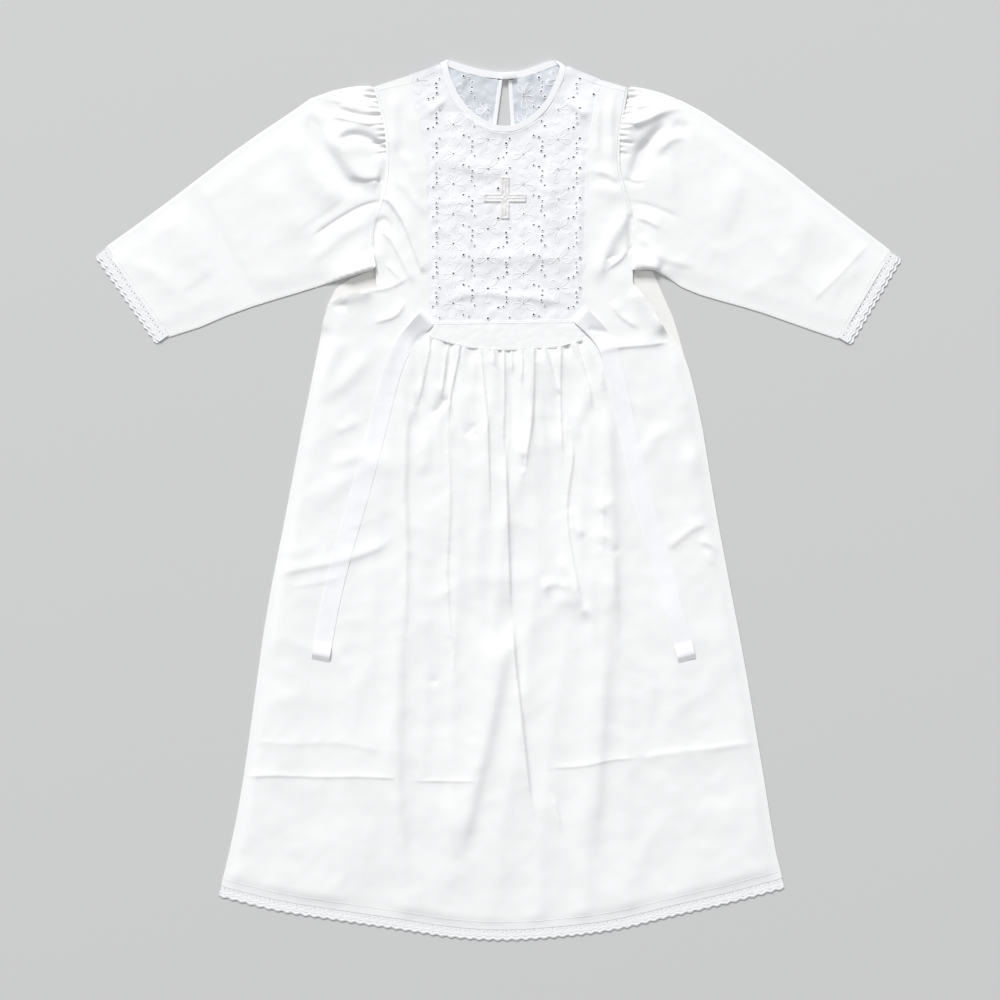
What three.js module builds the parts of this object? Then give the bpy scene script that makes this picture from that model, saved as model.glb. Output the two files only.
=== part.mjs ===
// A child's long baptismal shirt of white cotton, laid flat on its back, front up.
// Millimetres. +X is the shirt's left-hand side as drawn, +Y runs from the hem to the neck, +Z is up.
// The cloth of the back lies on the plane Z = 0, and the cloth of the front lies on it.
import * as THREE from "three";

// ---- Driving dimensions -------------------------------------------------------------------------
const CLOTH = 1.4; // height of one wall of cloth
const SEAM = 0.3; // space between pieces that are sewn together
const FRONT = CLOTH + SEAM; // where the front's underside lies when it is flat
const BAND = 2.2; // height of the waistband, cloth turned in on both edges
const BINDING = 2.4; // height of a bias strip folded round a raw edge
const TAPE = 1.1; // height of the woven tape of a tie
const TAPE_WIDTH = 18;
const LACE = 1.0; // height of the lace
const LACE_DEPTH = 11;
const SCALLOP_PITCH = 9.4;
const SCALLOP_RISE = 2.2;
const CROSS_SPAN = 43;
const CROSS_BAR = 9;
const CROSS_HEIGHT = 1.6;
const CROSS_AT = { x: 7, y: 302 };

// ---- Tables -------------------------------------------------------------------------------------
/** Rows of numbers under named columns. */
function table(columns, ...rows) {
  const names = columns.split(" ");
  return rows.map((row) => Object.fromEntries(names.map((name, i) => [name, row[i]])));
}

// The side edges of the front, from the waist to the hem.
const LEFT_SIDE = table(
  "x y",
  [-177, 163.5], [-180.5, 146], [-186, 118], [-196, 69], [-206, 16], [-216, -36], [-227, -91],
  [-236, -146], [-243.5, -203], [-250.5, -253], [-256.5, -293], [-265, -338], [-276.5, -385],
);
const RIGHT_SIDE = table(
  "x y",
  [171.5, 163.5], [184.5, 146], [194, 118], [204.5, 69], [213, 16], [222, -36], [232.5, -91],
  [243, -146], [253, -203], [261, -253], [268, -293], [274.5, -338], [283.5, -377],
);
// The lower edge of the cloth, from side to side.
const HEM = table(
  "x y",
  [-276.5, -385], [-220, -399], [-164, -408], [-96, -418], [-46, -425.5], [4, -428.5], [58, -425.5],
  [115, -418.3], [171.5, -405], [229, -391.5], [283.5, -377],
);
// The gathers under the waistband: each ends at edge, stands height proud and runs out after reach.
const BAND_LEFT = -68;
const BAND_RIGHT = 86;
const GATHERS = table(
  "edge height reach",
  [-54.5, 3.2, 60], [-48.5, 2.4, 45], [-36.3, 3.6, 80], [-24, 3.0, 70], [-14, 2.4, 50],
  [-4, 3.2, 95], [6, 3.4, 120], [14, 2.6, 60], [23, 3.6, 110], [37.5, 4.2, 90],
  [53, 3.8, 70], [61, 2.6, 60], [69, 3.2, 85], [77, 2.8, 60], [BAND_RIGHT, 3.0, 50],
);
// The lower edge of the waistband; its upper edge runs straight between two heights.
const BAND_FOOT = table("x y", [-68, 162.5], [-31, 152.8], [7, 150], [60, 152.8], [86, 160]);
const BAND_TOP_LEFT = 178;
const BAND_TOP_RIGHT = 180;

// The seams between the bib and the plain cloth beside it, from the shoulder to the waist.
const BIB_LEFT = table("x y", [-88, 424], [-79, 381], [-71, 340.5], [-69, 258], [-67.5, 189], [-67.5, 150]);
const BIB_RIGHT = table("x y", [102, 424], [94, 380], [88, 340.5], [86.5, 258], [85.5, 189], [85.5, 150]);
// The rows of the bodice, as heights on those seams; the neck part of the bib ends at row YOKE_ROW.
const RUNGS = [424, 404, 384, 362, 344, 328, 312, 284, 256, 232, 214, 200, 189, 178, 162.5];
const YOKE_ROW = 6;
const SHOULDER_DROP_RIGHT = 4.3; // how much lower the right seam meets its shoulder

// The armhole seams, from the shoulder to the underarm.
const ARMHOLE_LEFT = table(
  "x y",
  [-124, 412.5], [-117.6, 390.5], [-112, 365], [-111.5, 340], [-112.6, 320], [-118, 297], [-126, 273],
  [-126.4, 251], [-122, 233],
);
const ARMHOLE_RIGHT = table(
  "x y",
  [129.5, 411.8], [124.3, 382], [121, 359.5], [121, 333.5], [126.4, 309.5], [133, 290], [136, 266.5],
  [135, 248], [134, 231],
);
// The free edges under the arms, from the armhole to the side at the waist: the front's lie lower
// than the back's, so the back shows between them.
const FRONT_UNDERARM_LEFT = table(
  "x y",
  [-121, 212.5], [-138, 207.5], [-155, 204.5], [-169, 195.5], [-174, 180], [-177, 163.5],
);
const FRONT_UNDERARM_RIGHT = table(
  "x y",
  [134, 217], [143, 207], [152, 194], [160, 180.5], [167, 169.5], [171.5, 163.5],
);
const BACK_UNDERARM_LEFT = table("x y", [-124, 231.3], [-149, 221], [-162, 212], [-170, 196], [-173, 185]);
const BACK_UNDERARM_RIGHT = table(
  "x y",
  [133.8, 230], [154, 230], [158, 222], [162, 212], [168, 198.5], [175, 183], [181, 163.5],
);
// The sides of the yoke let into the back, from its foot to the shoulder.
const YOKE_FOOT = 310;
const YOKE_LEFT = table("x y", [-74, YOKE_FOOT], [-88, 424]);
const YOKE_RIGHT = table("x y", [91, YOKE_FOOT], [102, 419.7]);

// The sleeves' edges, from the armhole to the cuff.
const SLEEVE_TOP_LEFT = table(
  "x y",
  [-124, 412.5], [-149, 411.5], [-184, 401.7], [-214, 381], [-253.2, 355.1], [-290, 327], [-331.3, 295.5],
  [-362, 273], [-392, 251.5],
);
const SLEEVE_FOOT_LEFT = table(
  "x y",
  [-122, 233], [-149, 225], [-179.5, 215.5], [-205, 207.5], [-233.7, 199], [-266.2, 188.1], [-296.6, 175.1],
  [-314, 169.5], [-331, 164],
);
const SLEEVE_TOP_RIGHT = table(
  "x y",
  [129.5, 411.8], [152, 409], [182, 398.5], [212, 382.2], [248, 357.5], [280, 335.5], [316, 307],
  [354, 277.5], [392.3, 248.1],
);
const SLEEVE_FOOT_RIGHT = table(
  "x y",
  [134, 231], [158, 231.3], [182, 215.5], [206, 205.6], [233.8, 197.9], [260, 190.4], [287, 181],
  [314, 171.5], [341.5, 162.3],
);

// The neck binding, section by section, round from the middle of the back and back to it: the neck's
// edge, the edge that is sewn to the body, and 1 where the strip lies on the front, 0 on the back or
// 0.5 where it turns over at a shoulder.
const NECK_BINDING = table(
  "edgeX edgeY bodyX bodyY side",
  [7, 427.3, 7, 420.8, 0], [-10, 429, -11, 422.5, 0], [-26, 432.5, -28, 426, 0],
  [-40, 437, -43, 430.5, 0], [-48, 440, -50.5, 433.8, 0], [-51.5, 440.5, -57.5, 437.5, 0.5],
  [-50.5, 436, -57, 434, 1], [-49, 427.5, -55.5, 427, 1], [-43.5, 412, -49.6, 409.4, 1],
  [-34.5, 396.9, -39.9, 392.8, 1], [-22, 384.5, -26, 379.2, 1], [-6, 375.5, -8, 369.3, 1],
  [7, 373.5, 7, 367.1, 1], [18, 375.2, 20, 369, 1], [32.5, 382.5, 36.3, 377.2, 1],
  [47, 396.9, 52.4, 393.3, 1], [55.4, 415.1, 61.5, 412.8, 1], [60, 424, 66.4, 423, 1],
  [61.5, 434, 67.5, 433, 1], [57.5, 440.5, 64.5, 436.5, 0.5], [52, 439.5, 54.5, 433.3, 0],
  [43, 436, 45.5, 429.8, 0], [30, 431, 31.5, 424.5, 0], [18, 428, 18.5, 421.5, 0],
);
const FIRST_FRONT_SECTION = 6;
const LAST_FRONT_SECTION = 18;
const TURN_WALL = 1.6; // the wall of the strip where it turns over

// The slit in the back yoke: the slit's edge, and the outer edge of the strip that binds it.
const SLIT_BINDING = table(
  "edgeX edgeY bodyX bodyY",
  [4.7, 420.4, 0.4, 420.4], [1.6, 397, -2.7, 397], [-1.5, 373.5, -5.8, 373.5], [-2.8, 361, -7.1, 361],
  [-0.5, 354.5, -4, 351.5], [5.6, 351.5, 5.6, 347.2], [11.8, 354.5, 15.3, 351.5],
  [14, 361, 18.3, 361], [12.8, 373.5, 17.1, 373.5], [11.4, 397, 15.7, 397], [10, 420.4, 14.3, 420.4],
);

// The largest folds of the front and the sleeves: a ridge along a line, that dies off over width.
const FOLDS = table(
  "x0 y0 x1 y1 width height",
  // left sleeve: the puffed head, its folds, and the pull towards the underarm
  [-136, 392, -126, 345, 26, 3.5],
  [-176, 400, -118, 386, 6, 4],
  [-182, 382, -116, 360, 7, 5],
  [-200, 336, -150, 290, 13, 4.5],
  [-128, 268, -172, 240, 8, 4],
  [-130, 280, -182, 270, 8, 3],
  [-330, 290, -246, 200, 7, 1.6],
  // right sleeve
  [136, 392, 128, 350, 26, 3.5],
  [126, 374, 190, 394, 7, 6],
  [124, 352, 178, 362, 8, 4.5],
  [164, 350, 174, 296, 11, 4],
  [138, 264, 192, 240, 8, 4],
  [146, 282, 204, 262, 8, 2.5],
  [372, 258, 316, 200, 7, 1.6],
  // bodice: soft folds by the armholes, and the pull from them
  [-101, 402, -100, 350, 7, 2],
  [-118, 276, -84, 218, 6, 3],
  [108, 400, 107, 345, 7, 2],
  [133, 256, 97, 236, 7, 3],
  [130, 240, 88, 208, 8, 2],
  // the front's free edges under the arms stand a little
  [-124, 208, -160, 200, 9, 5],
  [136, 212, 166, 168, 9, 6],
  [92, 150, 172, 152, 8, 2],
  // skirt
  [7, 50, 13, -110, 7, 4.5],
  [13, -110, 32, -300, 8, 5],
  [10, -116, -37, -344, 15, 3.5],
  [33, 120, 21, 36, 7, 3],
  [118, 82, 121, -50, 9, 3],
  [-90, 110, -88, -290, 11, 2.5],
  [102, -60, 106, -270, 11, 2.5],
  [64, -60, 92, -118, 7, 2.5],
  [-216, -72, -150, -56, 8, 2],
  [182, -46, 222, -50, 8, 2.5],
  [-253, -275, -100, -275, 5, 1.2],
  [257, -239, 62, -268, 5, 1.2],
);

// ---- Places in plan -----------------------------------------------------------------------------
/** A smooth line through a table's x and y, as a function of 0 to 1 that meets each row. */
function line(rows) {
  const spline = new THREE.SplineCurve(rows.map(({ x, y }) => new THREE.Vector2(x, y)));
  return (t) => spline.getPoint(t);
}

/** A place between four lines that meet at their ends: u runs from left to right, v from top to foot. */
function between({ top, foot, left, right }) {
  return (u, v) => {
    const across = top(u).multiplyScalar(1 - v).add(foot(u).multiplyScalar(v));
    const down = left(v).multiplyScalar(1 - u).add(right(v).multiplyScalar(u));
    const upperEnds = top(0).multiplyScalar(1 - u).add(top(1).multiplyScalar(u));
    const lowerEnds = foot(0).multiplyScalar(1 - u).add(foot(1).multiplyScalar(u));
    const corners = upperEnds.multiplyScalar(1 - v).add(lowerEnds.multiplyScalar(v));
    return across.add(down).sub(corners);
  };
}

/** Even steps from 0 to 1. */
function steps(count) {
  return Array.from({ length: count + 1 }, (_, i) => i / count);
}

// ---- Heights ------------------------------------------------------------------------------------
const BODICE_LIFT = 2; // the air between the front and the back of the bodice
const BODICE_CENTRE = { x: 7, y: 330 };
const BODICE_REACH = 190;

/** How far a point is from a fold's line. */
function distance({ x0, y0, x1, y1 }, x, y) {
  const dx = x1 - x0;
  const dy = y1 - y0;
  const along = ((x - x0) * dx + (y - y0) * dy) / (dx * dx + dy * dy);
  const t = Math.min(1, Math.max(0, along));
  return Math.hypot(x - x0 - t * dx, y - y0 - t * dy);
}

/** The height of the underside of the front and the sleeves' upper cloth over a place in plan. */
function underside({ x, y }) {
  const away = Math.hypot(x - BODICE_CENTRE.x, y - BODICE_CENTRE.y) / BODICE_REACH;
  const air = BODICE_LIFT * Math.exp(-(away ** 4));
  const folds = FOLDS.map((fold) => fold.height * Math.exp(-((distance(fold, x, y) / fold.width) ** 2)));
  return folds.reduce((sum, height) => sum + height, FRONT + air);
}

// ---- Walls of cloth -----------------------------------------------------------------------------
/** A point of a wall: its outer and its inner corner, and how far along its row it is. */
function wallPoint(plan, upper, lower, along, innerPlan = plan) {
  return {
    along,
    outer: new THREE.Vector3(plan.x, plan.y, upper),
    inner: new THREE.Vector3(innerPlan.x, innerPlan.y, lower),
  };
}

/** The triangles between two rows of points, which may hold different numbers of points. */
function strip(a, b) {
  const faces = [];
  let i = 0;
  let j = 0;
  while (i < a.length - 1 || j < b.length - 1) {
    const nextA = i < a.length - 1 ? a[i + 1].along : Infinity;
    const nextB = j < b.length - 1 ? b[j + 1].along : Infinity;
    if (nextA <= nextB) {
      faces.push([a[i], a[i + 1], b[j]]);
      i += 1;
    } else {
      faces.push([a[i], b[j + 1], b[j]]);
      j += 1;
    }
  }
  return faces;
}

/** A closed wall from patches of rows: its outer face, its inner face and a rim along each free edge. */
function wall(patches) {
  const points = [];
  const numbers = new Map();
  const number = (point) => {
    const key = [...point.outer.toArray(), ...point.inner.toArray()].map((v) => v.toFixed(3)).join();
    if (!numbers.has(key)) numbers.set(key, points.push(point) - 1);
    return numbers.get(key);
  };
  const sheet = patches
    .flatMap((rows) => rows.slice(1).flatMap((row, i) => strip(rows[i], row)))
    .map((face) => face.map(number))
    .filter(([a, b, c]) => a !== b && b !== c && c !== a);
  const edges = new Set(sheet.flatMap(([a, b, c]) => [`${a},${b}`, `${b},${c}`, `${c},${a}`]));
  const free = [...edges]
    .map((edge) => edge.split(",").map(Number))
    .filter(([a, b]) => !edges.has(`${b},${a}`));
  const inner = (i) => i + points.length;
  const faces = [
    ...sheet,
    ...sheet.map(([a, b, c]) => [inner(a), inner(c), inner(b)]),
    ...free.flatMap(([a, b]) => [[b, a, inner(a)], [b, inner(a), inner(b)]]),
  ];
  const corners = [...points.map((p) => p.outer), ...points.map((p) => p.inner)];
  return closedGeometry(corners, faces);
}

/** A closed geometry with its faces pointing out. */
function closedGeometry(corners, faces) {
  const cross = new THREE.Vector3();
  const volume = faces.reduce(
    (sum, [a, b, c]) => sum + cross.crossVectors(corners[b], corners[c]).dot(corners[a]),
    0,
  );
  const outward = volume > 0 ? faces : faces.map(([a, b, c]) => [a, c, b]);
  const geometry = new THREE.BufferGeometry();
  geometry.setAttribute("position", new THREE.Float32BufferAttribute(corners.flatMap((p) => p.toArray()), 3));
  geometry.setIndex(outward.flat());
  geometry.computeVertexNormals();
  return geometry;
}

/** A section of a flattened tube, closed: the upper cloth from edge to edge, and the lower cloth back. */
function tubeRow(columns, lowerColumns, plan, thickness, raise = () => 0) {
  const width = plan(0).distanceTo(plan(1));
  const inset = thickness / width;
  const within = (u) => Math.min(1 - inset, Math.max(inset, u));
  const upper = columns.map((u) => {
    const place = plan(u);
    const innerPlace = plan(within(u));
    const low = underside(innerPlace) + raise(u);
    return wallPoint(place, Math.max(low, underside(place) + raise(u)) + thickness, low, u, innerPlace);
  });
  const lower = lowerColumns.map((u) => wallPoint(plan(1 - u), 0, thickness, 1.001 + u, plan(within(1 - u))));
  return [...upper, ...lower, { ...upper[0], along: 3 }];
}

/** A flat piece of even height with its lower face at height z, from an outline. */
function flatPiece(outline, height, z) {
  const shape = new THREE.Shape(outline.map(({ x, y }) => new THREE.Vector2(x, y)));
  return new THREE.ExtrudeGeometry(shape, { depth: height, bevelEnabled: false }).translate(0, 0, z);
}

// ---- The front ----------------------------------------------------------------------------------
const STRAP_COLUMNS = 7;
const GATHER_RISE = 12; // how far below the band a gather stands at its full height
const SKIRT_ROWS = [
  0, 0.015, 0.035, 0.065, 0.1, 0.14, 0.19, 0.25, 0.32, 0.4, 0.48, 0.56, 0.64, 0.72, 0.8, 0.87, 0.94, 1,
];
const WAIST_LEFT = LEFT_SIDE[0];
const WAIST_RIGHT = RIGHT_SIDE[0];

/** Where a table's line is at height y, for a table whose y falls from row to row. */
function crossing(rows, y) {
  const i = Math.max(1, rows.findIndex((row) => row.y <= y));
  const t = (rows[i - 1].y - y) / (rows[i - 1].y - rows[i].y);
  return new THREE.Vector2(THREE.MathUtils.lerp(rows[i - 1].x, rows[i].x, t), y);
}

/** Where a table's line is at x, for a table whose x grows from row to row. */
function heightAt(rows, x) {
  const turned = rows.map((row) => ({ x: row.y, y: -row.x }));
  return crossing(turned, -x).x;
}

/** The columns of the skirt: the left side, two for each gather, and the right side. */
function skirtColumns() {
  const side = (from, to) => steps(STRAP_COLUMNS).map((t) => ({ x: THREE.MathUtils.lerp(from, to, t) }));
  const gathers = GATHERS.flatMap(({ edge, height, reach }, i) => {
    const start = i ? GATHERS[i - 1].edge : BAND_LEFT;
    return [{ x: (start + edge) / 2, height, reach }, { x: edge }];
  });
  return [...side(WAIST_LEFT.x, BAND_LEFT), ...gathers, ...side(BAND_RIGHT, WAIST_RIGHT.x).slice(1)];
}

/** The upper edge of the skirt: its free sides, and the lower edge of the waistband between them. */
function waistLine(u) {
  const x = THREE.MathUtils.lerp(WAIST_LEFT.x, WAIST_RIGHT.x, u);
  const rows = [WAIST_LEFT, ...BAND_FOOT, WAIST_RIGHT];
  return new THREE.Vector2(x, heightAt(rows, x));
}

/** One strap of the front, beside the bib: rows from the shoulder down to the skirt's upper row. */
function strap(waist, leftEdge, rightEdge) {
  const rows = RUNGS.slice(0, -1).map((_, i) =>
    steps(STRAP_COLUMNS).map((u) => {
      const place = leftEdge(i).clone().lerp(rightEdge(i), u);
      const low = underside(place);
      return wallPoint(place, low + CLOTH, low, u);
    }),
  );
  return [...rows, waist.map((point, i) => ({ ...point, along: i / STRAP_COLUMNS }))];
}

/** A point on a seam beside the bib at a row of the bodice, moved out by a distance. */
function bibEdge(rows, row, out, drop = 0) {
  const y = RUNGS[row] - (row ? 0 : drop);
  return crossing(rows, y).add(new THREE.Vector2(out, 0));
}

/** The plain front: the gathered skirt, and a strap on each side of the bib. */
function frontPanel() {
  const plan = between({
    top: waistLine,
    foot: line(HEM),
    left: line(LEFT_SIDE),
    right: line(RIGHT_SIDE),
  });
  const skirt = SKIRT_ROWS.map((v) =>
    skirtColumns().map(({ x, height = 0, reach = 1 }) => {
      const u = (x - WAIST_LEFT.x) / (WAIST_RIGHT.x - WAIST_LEFT.x);
      const place = plan(u, v);
      const drop = waistLine(u).distanceTo(place);
      const swell = 0.35 + 0.65 * Math.min(1, drop / GATHER_RISE);
      const low = underside(place) + height * swell * Math.exp(-drop / reach);
      return wallPoint(place, low + CLOTH, low, u);
    }),
  );
  const leftEdge = [...ARMHOLE_LEFT, ...FRONT_UNDERARM_LEFT].map(({ x, y }) => new THREE.Vector2(x, y));
  const rightEdge = [...ARMHOLE_RIGHT, ...FRONT_UNDERARM_RIGHT].map(({ x, y }) => new THREE.Vector2(x, y));
  const left = strap(
    skirt[0].slice(0, STRAP_COLUMNS + 1),
    (i) => leftEdge[i],
    (i) => bibEdge(BIB_LEFT, i, -SEAM),
  );
  const right = strap(
    skirt[0].slice(-STRAP_COLUMNS - 1),
    (i) => bibEdge(BIB_RIGHT, i, SEAM, SHOULDER_DROP_RIGHT),
    (i) => rightEdge[i],
  );
  return wall([skirt, left, right]);
}

/** A point of a binding's sewn edge, moved on by the width of the seam. */
function beyond({ edgeX, edgeY, bodyX, bodyY }) {
  const body = new THREE.Vector2(bodyX, bodyY);
  const out = body.clone().sub(new THREE.Vector2(edgeX, edgeY)).setLength(SEAM);
  return body.add(out);
}

/** Points and the middles between them. */
function halved(points) {
  return points.flatMap((point, i) => (i ? [points[i - 1].clone().lerp(point, 0.5), point] : [point]));
}

/** The eyelet bib: round the neck down to the yoke row, and straight down from there. */
function frontInset() {
  const neck = halved(NECK_BINDING.slice(FIRST_FRONT_SECTION, LAST_FRONT_SECTION + 1).map(beyond));
  const leftSide = RUNGS.slice(0, YOKE_ROW + 1).map((_, i) => bibEdge(BIB_LEFT, i, 0));
  const rightSide = RUNGS.slice(0, YOKE_ROW + 1).map((_, i) => bibEdge(BIB_RIGHT, i, 0, SHOULDER_DROP_RIGHT));
  const acrossCount = neck.length - 1 - 2 * YOKE_ROW;
  const across = steps(acrossCount).map((t) => leftSide[YOKE_ROW].clone().lerp(rightSide[YOKE_ROW], t));
  const round = [...leftSide.slice(0, -1), ...across, ...rightSide.slice(0, -1).reverse()];
  const point = (place, along) => wallPoint(place, underside(place) + CLOTH, underside(place), along);
  const yoke = steps(4).map((v) => neck.map((place, i) => point(place.clone().lerp(round[i], v), i)));
  const foot = (side) => (side ? BAND_TOP_RIGHT : BAND_TOP_LEFT) + SEAM;
  const below = RUNGS.slice(YOKE_ROW + 1, -2).map((_, i) => [
    bibEdge(BIB_LEFT, YOKE_ROW + 1 + i, 0),
    bibEdge(BIB_RIGHT, YOKE_ROW + 1 + i, 0),
  ]);
  const last = [crossing(BIB_LEFT, foot(0)), crossing(BIB_RIGHT, foot(1))];
  const bib = [...below, last].map(([from, to]) =>
    steps(acrossCount).map((t, i) => point(from.clone().lerp(to, t), YOKE_ROW + i)),
  );
  return wall([yoke, [yoke.at(-1).slice(YOKE_ROW, YOKE_ROW + acrossCount + 1), ...bib]]);
}

/** The straight band that the gathers are sewn to. */
function waistBand() {
  const columns = skirtColumns().slice(STRAP_COLUMNS, -STRAP_COLUMNS);
  const rows = steps(2).map((v) =>
    columns.map(({ x }, i) => {
      const t = (x - BAND_LEFT) / (BAND_RIGHT - BAND_LEFT);
      const across = THREE.MathUtils.lerp(BAND_LEFT + 2 * SEAM, BAND_RIGHT - 3 * SEAM, t);
      const top = THREE.MathUtils.lerp(BAND_TOP_LEFT, BAND_TOP_RIGHT, t);
      const foot = heightAt(BAND_FOOT, x) + SEAM;
      const place = new THREE.Vector2(across, THREE.MathUtils.lerp(top, foot, v));
      const low = underside(place);
      return wallPoint(place, low + BAND, low, i);
    }),
  );
  return wall([rows]);
}

/** A section of the neck binding where it turns over: it stands on its side, its wall pointing inward. */
function turnedSection(edge, body) {
  const inward = new THREE.Vector2(-Math.sign(edge.x), -0.25).setLength(TURN_WALL);
  return [edge, body].map((place, i) => {
    const middle = (BINDING + underside(place)) / 2;
    return wallPoint(place, middle, middle, i, place.clone().add(inward));
  });
}

/** The bias strip round the neck. What is its outer face on the front lies underneath on the back. */
function neckBinding() {
  const rows = [...NECK_BINDING, NECK_BINDING[0]].map(({ edgeX, edgeY, bodyX, bodyY, side }) => {
    const [edge, body] = [new THREE.Vector2(edgeX, edgeY), new THREE.Vector2(bodyX, bodyY)];
    if (side === 0) return [edge, body].map((place, i) => wallPoint(place, 0, BINDING, i));
    if (side < 1) return turnedSection(edge, body);
    return [edge, body].map((place, i) => {
      const low = underside(place);
      return wallPoint(place, low + BINDING, low, i);
    });
  });
  return wall([rows]);
}

// ---- The sleeves and the lace ---------------------------------------------------------------------
const HEAD_GATHERS = 11; // gathers in each sleeve's head
const HEAD_FROM = 0.05; // the share of the armhole where they start and end
const HEAD_TO = 0.37;
const HEAD_RISE = 2.4;
const HEAD_REACH = 22;
const HEAD_ROWS = [0, 0.02, 0.045, 0.08, 0.12];
const ARM_ROWS = [0.12, 0.18, 0.26, 0.35, 0.45, 0.55, 0.65, 0.76, 0.88, 1];
const ARM_COLUMNS = [0, 0.06, 0.12, 0.18, 0.24, 0.3, 0.37, 0.45, 0.53, 0.61, 0.69, 0.77, 0.85, 0.92, 1];
const ARMHOLE_COLUMNS = steps(ARMHOLE_LEFT.length - 1); // one for each row of an armhole's table

/** A broken line through a table's x and y, as a function of 0 to 1. */
function brokenLine(rows, dx) {
  return (t) => {
    const at = Math.min(rows.length - 1.000001, t * (rows.length - 1));
    const from = rows[Math.floor(at)];
    const to = rows[Math.floor(at) + 1];
    const share = at - Math.floor(at);
    const x = THREE.MathUtils.lerp(from.x, to.x, share) + dx;
    return new THREE.Vector2(x, THREE.MathUtils.lerp(from.y, to.y, share));
  };
}

/** The columns of a sleeve's head: two for each gather, and the plain rest of the armhole. */
function headColumns() {
  const pitch = (HEAD_TO - HEAD_FROM) / HEAD_GATHERS;
  const gathers = Array.from({ length: 2 * HEAD_GATHERS + 1 }, (_, i) => HEAD_FROM + (i * pitch) / 2);
  const near = (u) => gathers.some((other) => Math.abs(other - u) < pitch / 8);
  const plain = ARM_COLUMNS.filter((u) => u > HEAD_TO + pitch);
  const corners = ARMHOLE_COLUMNS.filter((u) => !near(u));
  return [...new Set([...gathers, ...plain, ...corners])].sort((a, b) => a - b);
}

/** How high the gathers of a sleeve's head stand at a column, at a distance from the armhole. */
function headGather(u, away) {
  const at = ((u - HEAD_FROM) / (HEAD_TO - HEAD_FROM)) * HEAD_GATHERS;
  if (at < 0 || at > HEAD_GATHERS + 1e-9) return 0;
  const crest = Math.abs(Math.sin(at * Math.PI));
  const uneven = 1 + 0.35 * Math.sin(2.3 * Math.floor(at));
  return HEAD_RISE * uneven * crest * Math.exp(-away / HEAD_REACH);
}

/** One sleeve, laid flat: out is the way from the body, -1 to the left and 1 to the right. */
function sleeve(out, armhole, top, foot) {
  const atArmhole = brokenLine(armhole, out * SEAM);
  const topEdge = line([{ x: atArmhole(0).x, y: atArmhole(0).y }, ...top.slice(1)]);
  const footEdge = line([{ x: atArmhole(1).x, y: atArmhole(1).y }, ...foot.slice(1)]);
  const cuff = (u) => topEdge(1).clone().lerp(footEdge(1), u);
  const plan = between({ top: atArmhole, foot: cuff, left: topEdge, right: footEdge });
  const row = (columns, v) => {
    const place = (u) => plan(u, v);
    const gather = (u) => headGather(u, place(u).distanceTo(plan(u, 0)));
    return tubeRow(columns, ARMHOLE_COLUMNS, place, CLOTH, gather);
  };
  const head = HEAD_ROWS.map((v) => row(headColumns(), v));
  const arm = ARM_ROWS.slice(1).map((v) => row(ARM_COLUMNS, v));
  return wall([[...head, ...arm]]);
}

/** A flattened ring of lace below an edge of the cloth, scalloped along its free edge. */
function laceRing(edge, down, scallops) {
  const columns = steps(2 * scallops);
  const depth = (u) => LACE_DEPTH - SCALLOP_RISE * (Math.round(u * 2 * scallops) % 2 ? 0 : 1);
  const rows = [() => SEAM, depth].map((reach) => {
    const place = (u) => edge(u).add(down(u).multiplyScalar(reach(u)));
    return tubeRow(columns, columns, place, LACE);
  });
  return wall([rows]);
}

/** The lace of a cuff, below the straight edge from a sleeve's top to its foot. */
function cuffLace(out, top, foot) {
  const from = new THREE.Vector2(top.at(-1).x, top.at(-1).y);
  const to = new THREE.Vector2(foot.at(-1).x, foot.at(-1).y);
  const along = to.clone().sub(from).normalize();
  const down = new THREE.Vector2(out * Math.abs(along.y), -Math.abs(along.x));
  const scallops = Math.round(from.distanceTo(to) / SCALLOP_PITCH);
  return laceRing((u) => from.clone().lerp(to, u), () => down.clone(), scallops);
}

/** The lace round the hem. */
function hemLace() {
  const edge = line(HEM);
  const reach = 0.004;
  const down = (u) => {
    const along = edge(Math.min(1, u + reach)).sub(edge(Math.max(0, u - reach))).normalize();
    return new THREE.Vector2(along.y, -along.x);
  };
  const length = new THREE.SplineCurve(HEM.map(({ x, y }) => new THREE.Vector2(x, y))).getLength();
  return laceRing(edge, down, Math.round(length / SCALLOP_PITCH));
}

// ---- The back -----------------------------------------------------------------------------------
const EDGE_POINTS = 26;

/** The plain back, flat on its underside, with room at the top for its yoke. */
function backPanel() {
  const inward = (rows, dx) => rows.map(({ x, y }) => ({ x: x + dx, y }));
  const right = [...BACK_UNDERARM_RIGHT, { x: 186.5, y: 143 }, ...RIGHT_SIDE.slice(2, -1)];
  const left = [...BACK_UNDERARM_LEFT, ...LEFT_SIDE.slice(0, -1)];
  return flatPiece(
    [
      ...inward(YOKE_RIGHT, SEAM),
      ...inward(ARMHOLE_RIGHT, -SEAM / 3),
      ...right,
      ...steps(EDGE_POINTS).map((t) => line(HEM)(1 - t)),
      ...left.reverse(),
      ...inward(ARMHOLE_LEFT, SEAM / 3).reverse(),
      ...inward(YOKE_LEFT, -SEAM).reverse(),
    ],
    CLOTH,
    0,
  );
}

/** The eyelet yoke of the back, with the slit that opens from the neck. */
function backInset() {
  const leftNeck = NECK_BINDING.slice(1, FIRST_FRONT_SECTION).map(beyond);
  const rightNeck = NECK_BINDING.slice(LAST_FRONT_SECTION + 1).map(beyond);
  const slit = SLIT_BINDING.map(beyond);
  const neck = [...leftNeck.reverse(), ...slit, ...rightNeck.reverse()];
  return flatPiece([...YOKE_LEFT, ...neck, ...YOKE_RIGHT.toReversed()], CLOTH, 0);
}

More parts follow.
